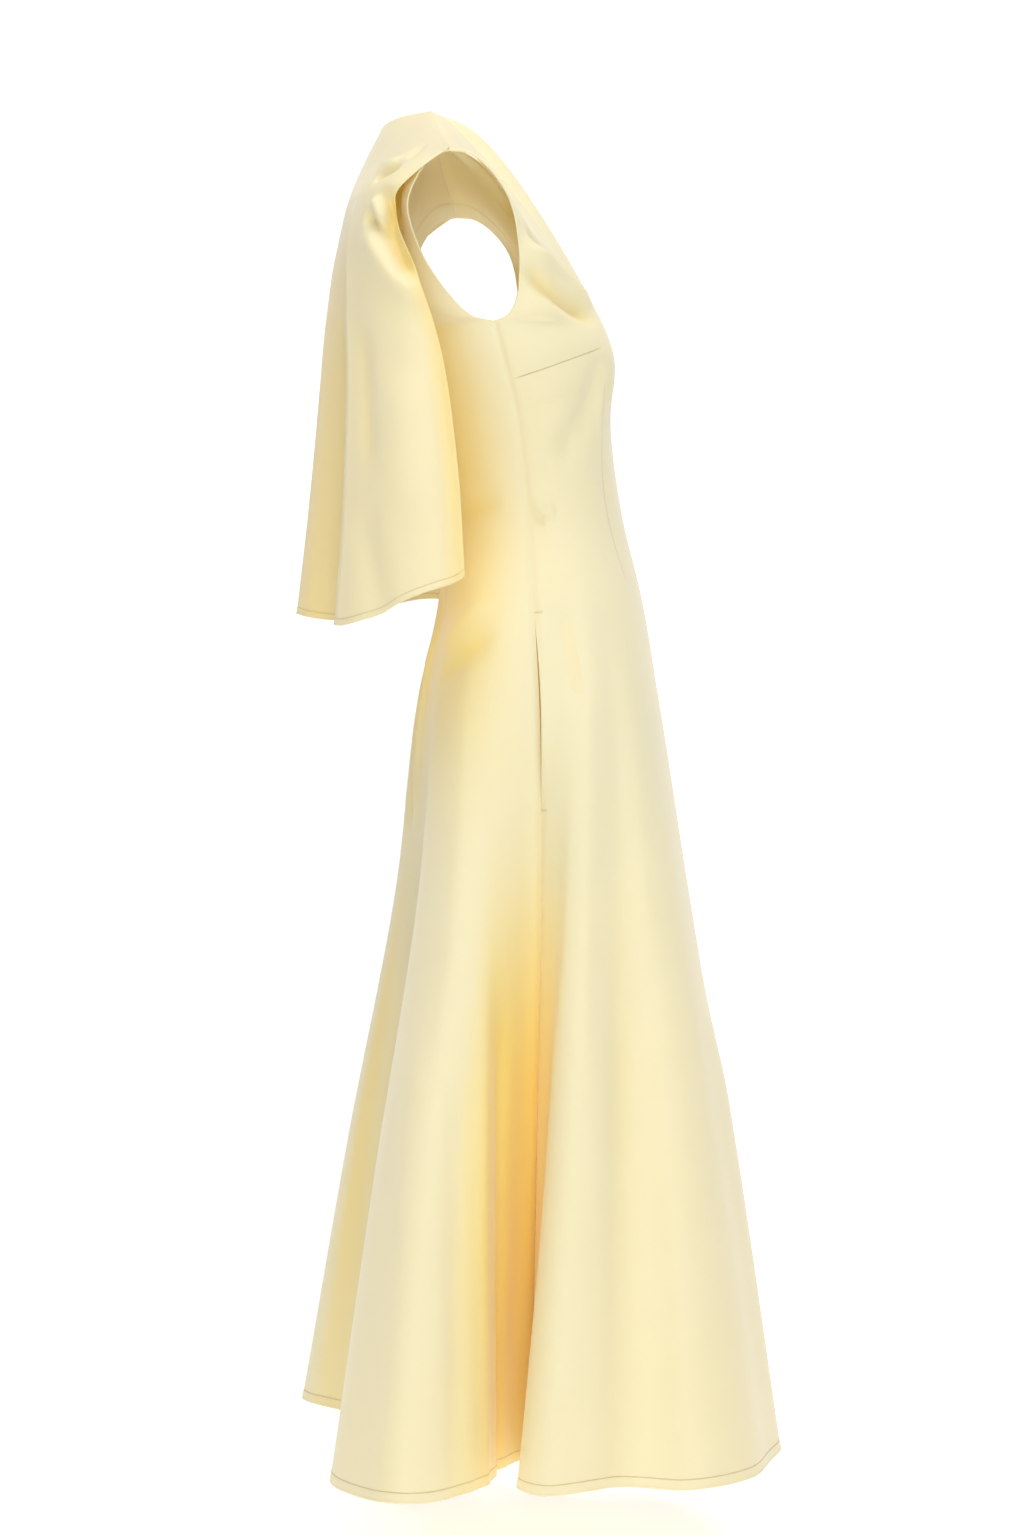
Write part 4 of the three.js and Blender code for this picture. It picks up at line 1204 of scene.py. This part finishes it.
def cotton(name, colour, cloud, through):
    """The cloth's finish. through is the share of the light that goes on to the other side."""
    material, nodes, link, cloth, output = shader_nodes(name)
    for key, value in SATEEN.items():
        cloth.inputs[key].default_value = value
    where = nodes.new("ShaderNodeUVMap")
    where.uv_map = "cloth"
    clouds = nodes.new("ShaderNodeTexNoise")
    clouds.inputs["Scale"].default_value = CLOUDS["scale"]
    clouds.inputs["Detail"].default_value = CLOUDS["detail"]
    link(where.outputs["UV"], clouds.inputs["Vector"])
    patches = ramp(nodes, link, clouds.outputs["Fac"], CLOUDS["from"], CLOUDS["to"], 0.0, CLOUDS["share"])
    tint = colour_mix(nodes, link, colour, cloud, patches)
    # Painted warm shade: the yellow turns warm where the cloth notes a hollow.
    hollow = nodes.new("ShaderNodeAttribute")
    hollow.attribute_name = "hollow"
    depth = calculate(nodes, link, "MULTIPLY", hollow.outputs["Fac"], WARM_SHADE_PAINT["share"])
    tint = colour_mix(nodes, link, tint, WARM_SHADE_PAINT["colour"], depth)

    # Painted shade: the seam line is darkened as the shade in its groove, which is also bumped below.
    line = seam_line(nodes, link)
    painted_seam_shade = calculate(nodes, link, "MULTIPLY", line, SEAM_LINE_SHADE["strength"])
    link(colour_mix(nodes, link, tint, SEAM_LINE_SHADE["colour"], painted_seam_shade), cloth.inputs["Base Color"])

    threads = nodes.new("ShaderNodeBump")
    threads.inputs["Distance"].default_value = WEAVE["height"]
    threads.inputs["Strength"].default_value = WEAVE["strength"]
    link(weave(nodes, link, where), threads.inputs["Height"])
    groove = nodes.new("ShaderNodeBump")
    groove.invert = True
    groove.inputs["Distance"].default_value = GROOVE["depth"]
    groove.inputs["Strength"].default_value = GROOVE["strength"]
    link(line, groove.inputs["Height"])
    link(threads.outputs["Normal"], groove.inputs["Normal"])
    link(groove.outputs["Normal"], cloth.inputs["Normal"])

    glow = nodes.new("ShaderNodeBsdfTranslucent")
    glow.inputs["Color"].default_value = (*THROUGH["colour"], 1)
    blend = nodes.new("ShaderNodeMixShader")
    blend.inputs["Fac"].default_value = through
    link(cloth.outputs["BSDF"], blend.inputs[1])
    link(glow.outputs["BSDF"], blend.inputs[2])
    link(blend.outputs["Shader"], output.inputs["Surface"])
    return material


def weave(nodes, link, where):
    """Over-and-under threads as the product of two waves across and down the cloth."""
    waves = []
    for direction in ("X", "Y"):
        wave = nodes.new("ShaderNodeTexWave")
        wave.bands_direction = direction
        wave.inputs["Scale"].default_value = 1.0 / (WEAVE["pitch"] * math.pi * 2)
        wave.inputs["Distortion"].default_value = WEAVE["distortion"]
        wave.inputs["Detail"].default_value = WEAVE["detail"]
        link(where.outputs["UV"], wave.inputs["Vector"])
        waves.append(wave.outputs["Fac"])
    return calculate(nodes, link, "MULTIPLY", waves[0], waves[1])


dress_cotton = cotton("dress cotton", COTTON["colour"], COTTON["cloud"], THROUGH["share"])
cape_cotton = cotton("cape cotton", COTTON["colour"], COTTON["cloud"], THROUGH["cape_share"])
pocketing = cotton("pocketing", POCKETING["colour"], POCKETING["cloud"], THROUGH["share"])


def thread_finish():
    material, nodes, link, thread, _ = shader_nodes("sewing thread")
    twist = nodes.new("ShaderNodeTexNoise")
    twist.inputs["Scale"].default_value = THREAD["twist"]
    place = nodes.new("ShaderNodeTexCoord")
    link(place.outputs["Object"], twist.inputs["Vector"])
    shade = colour_mix(nodes, link, THREAD["dark"], THREAD["light"], twist.outputs["Fac"])
    link(shade, thread.inputs["Base Color"])
    thread.inputs["Roughness"].default_value = THREAD["rough"]
    return material


thread = thread_finish()
for piece, material in ((front, dress_cotton), (back, dress_cotton), (cape, cape_cotton),
                        (bag_right, pocketing), (bag_left, pocketing)):
    piece.data.materials.append(material)
print("finishes:", [m.name for m in (dress_cotton, cape_cotton, pocketing, thread)])

# %% [markdown]
# Rows of stitches
#
# The skirt's hem and the cape's hem each have one row, seven to nine millimetres above the edge. A bar tack
# of close stitches locks the top and the foot of each pocket's mouth.


# %% Sewing
STITCH = {
    "skirt": dict(pitch=0.0034, length=0.0024, radius=0.00016),
    "cape": dict(pitch=0.0032, length=0.0023, radius=0.00016),
    "tack": dict(pitch=0.0010, length=0.0011, radius=0.00024),
}
CAPE_STITCH_INSET = 0.001
NO_STITCHES = {"skirt": 3, "cape": 4}  # columns of the cloth at each end of a row that have none
ROW_LIFT = 0.0001
TACK = {"from": 0.0005, "to": 0.008, "points": 6, "lift": 0.0003, "bars": (0.0, 0.0006, 0.0012)}


def row_above_edge(points, outward, height):
    """A line on the cloth at one height above its lower edge, measured along the cloth."""
    rising = from_foot(points)[::-1]
    raised = (points + normals(points, outward) * ROW_LIFT)[::-1]
    line = np.zeros((points.shape[1], 3))
    for column in range(points.shape[1]):
        for axis in range(3):
            line[column, axis] = np.interp(height, rising[:, column], raised[:, column, axis])
    return line


front_row = row_above_edge(front_points, -1, HEM_BAND["deep"] - STITCH_INSET)
back_row = row_above_edge(back_points, 1, HEM_BAND["deep"] - STITCH_INSET)
cape_row = row_above_edge(cape_points, 1, CAPE_HEM_BAND["deep"] - CAPE_STITCH_INSET)
skirt_rows = [row[NO_STITCHES["skirt"] : -NO_STITCHES["skirt"]] for row in (front_row, back_row)]
cape_rows = [cape_row[NO_STITCHES["cape"] : -NO_STITCHES["cape"]]]
hem_stitches = sew("skirt_hem_stitches", skirt_rows, thread, **STITCH["skirt"])
cape_stitches = sew("cape_hem_stitches", cape_rows, thread, **STITCH["cape"])


def bar_tack(points, outward, edge, z):
    """Three short bars, one under the other, across the end of a pocket's mouth."""
    row = int(np.argmin(np.abs(points[:, edge, 2] - z)))
    raised = points + normals(points, outward) * TACK["lift"]
    turn = 1 if edge == 0 else -1
    across = length_along(points[:, ::turn], 1)[row]
    inset = np.linspace(TACK["from"], TACK["to"], TACK["points"])
    bar = np.stack([np.interp(inset, across, raised[row, ::turn, axis]) for axis in range(3)], axis=-1)
    return [bar - (0.0, 0.0, lower) for lower in TACK["bars"]]


tack_lines = []
for edge in (0, -1):
    for z in (POCKET["mouth_top"], POCKET["mouth_bottom"]):
        tack_lines += bar_tack(front_points, -1, edge, z)
tacks = sew("pocket_bar_tacks", tack_lines, thread, **STITCH["tack"])

# %% [markdown]
# Ride, replace and measure
#
# The dress is one body, so every piece rides on the root. Each cloth stands for one packed wall.


def cut_of(points, longest):
    """The width and length of the rectangle that a panel is cut from, and the panel's flat area."""
    width = float(length_along(points, 1)[:, -1].max())
    length = float(longest(length_along(points, 0)[-1]))
    return (round(width, 3), round(length, 3)), round(layer_area(points), 3)


# A bag's columns bend with its round foot, so its length is that of its straightest column.
PIECES = [
    (front, front_points, "front", "dress_cotton", np.max, [hem_stitches, tacks]),
    (back, back_points, "back", "dress_cotton", np.max, []),
    (cape, cape_points, "cape", "cape_cotton", np.max, [cape_stitches]),
    (bag_right, bag_right_points, "pocket_right", "pocketing", np.min, []),
    (bag_left, bag_left_points, "pocket_left", "pocketing", np.min, []),
]
for piece, points, node, slot, longest, sewn_on in PIECES:
    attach(piece, "root")
    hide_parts(node)
    for extra in sewn_on:
        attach(extra, "root")
    flat, area = cut_of(points, longest)
    print(piece.name, "cut from", flat, "m, area", area, "m2")

# %% [markdown]
# Studio
#
# Pale cloth on white needs soft light from all round. The world gives an even white, a wide lamp above lifts
# the shoulders, and one beside the camera gives the folds their shape. The floor is a plain pale sheet that
# turns up far behind the dress, so that no line shows where it ends.

# %% Studio
FLOOR = {"z": -1.44, "from_x": -7.0, "bend_x": 5.6, "bend": 1.8, "top_z": 4.6, "half_width": 11.0}
FLOOR_PAINT = {
    "Base Color": (0.94, 0.94, 0.93, 1), "Roughness": 0.95, "Specular IOR Level": 0.1,
    "Emission Color": (1.0, 1.0, 0.99, 1), "Emission Strength": 0.53,
}
WORLD = {"Color": (1.0, 1.0, 1.0, 1), "Strength": 0.27}
MIDDLE = (0.0, -0.05, -0.6)
LAMPS = [
    dict(name="overhead", place=(-0.8, -0.2, 2.5), size=2.0, power=68),
    dict(name="beside the camera", place=(-5.2, -0.4, 0.5), size=1.6, power=82),
]
BOUNCES = {"all": 16, "diffuse": 12}  # light has to pass from fold to fold, as it does between pale cloths


def sweep_profile():
    angles = np.linspace(0, math.pi / 2, 13)
    bend = FLOOR["bend"]
    curve = [(FLOOR["bend_x"] + bend * math.sin(a), FLOOR["z"] + bend * (1 - math.cos(a))) for a in angles]
    return [(FLOOR["from_x"], FLOOR["z"])] + curve + [(FLOOR["bend_x"] + bend, FLOOR["top_z"])]


def make_floor():
    profile = sweep_profile()
    vertices = [(x, y, z) for x, z in profile for y in (-FLOOR["half_width"], FLOOR["half_width"])]
    faces = [(2 * k, 2 * k + 2, 2 * k + 3, 2 * k + 1) for k in range(len(profile) - 1)]
    mesh = bpy.data.meshes.new("floor")
    mesh.from_pydata(vertices, [], faces)
    mesh.polygons.foreach_set("use_smooth", [True] * len(faces))
    sheet = bpy.data.objects.new("floor", mesh)
    scene.collection.objects.link(sheet)
    material, _, _, paint, _ = shader_nodes("pale floor")
    for key, value in FLOOR_PAINT.items():
        paint.inputs[key].default_value = value
    mesh.materials.append(material)
    return sheet


sheet = make_floor()

world = bpy.data.worlds.new("white studio")
world.use_nodes = True
for key, value in WORLD.items():
    world.node_tree.nodes["Background"].inputs[key].default_value = value
scene.world = world


def lamp(name, place, size, power):
    """A round soft lamp that faces the middle of the dress."""
    data = bpy.data.lights.new(name, "AREA")
    data.shape = "DISK"
    data.size = size
    data.energy = power
    light = bpy.data.objects.new(name, data)
    light.location = place
    light.rotation_euler = (Vector(MIDDLE) - Vector(place)).to_track_quat("-Z", "Y").to_euler()
    scene.collection.objects.link(light)


for row in LAMPS:
    lamp(**row)
scene.view_settings.view_transform = "Standard"
scene.cycles.max_bounces = BOUNCES["all"]
scene.cycles.diffuse_bounces = BOUNCES["diffuse"]
print("floor", sheet.name, "and", len(LAMPS), "lamps")
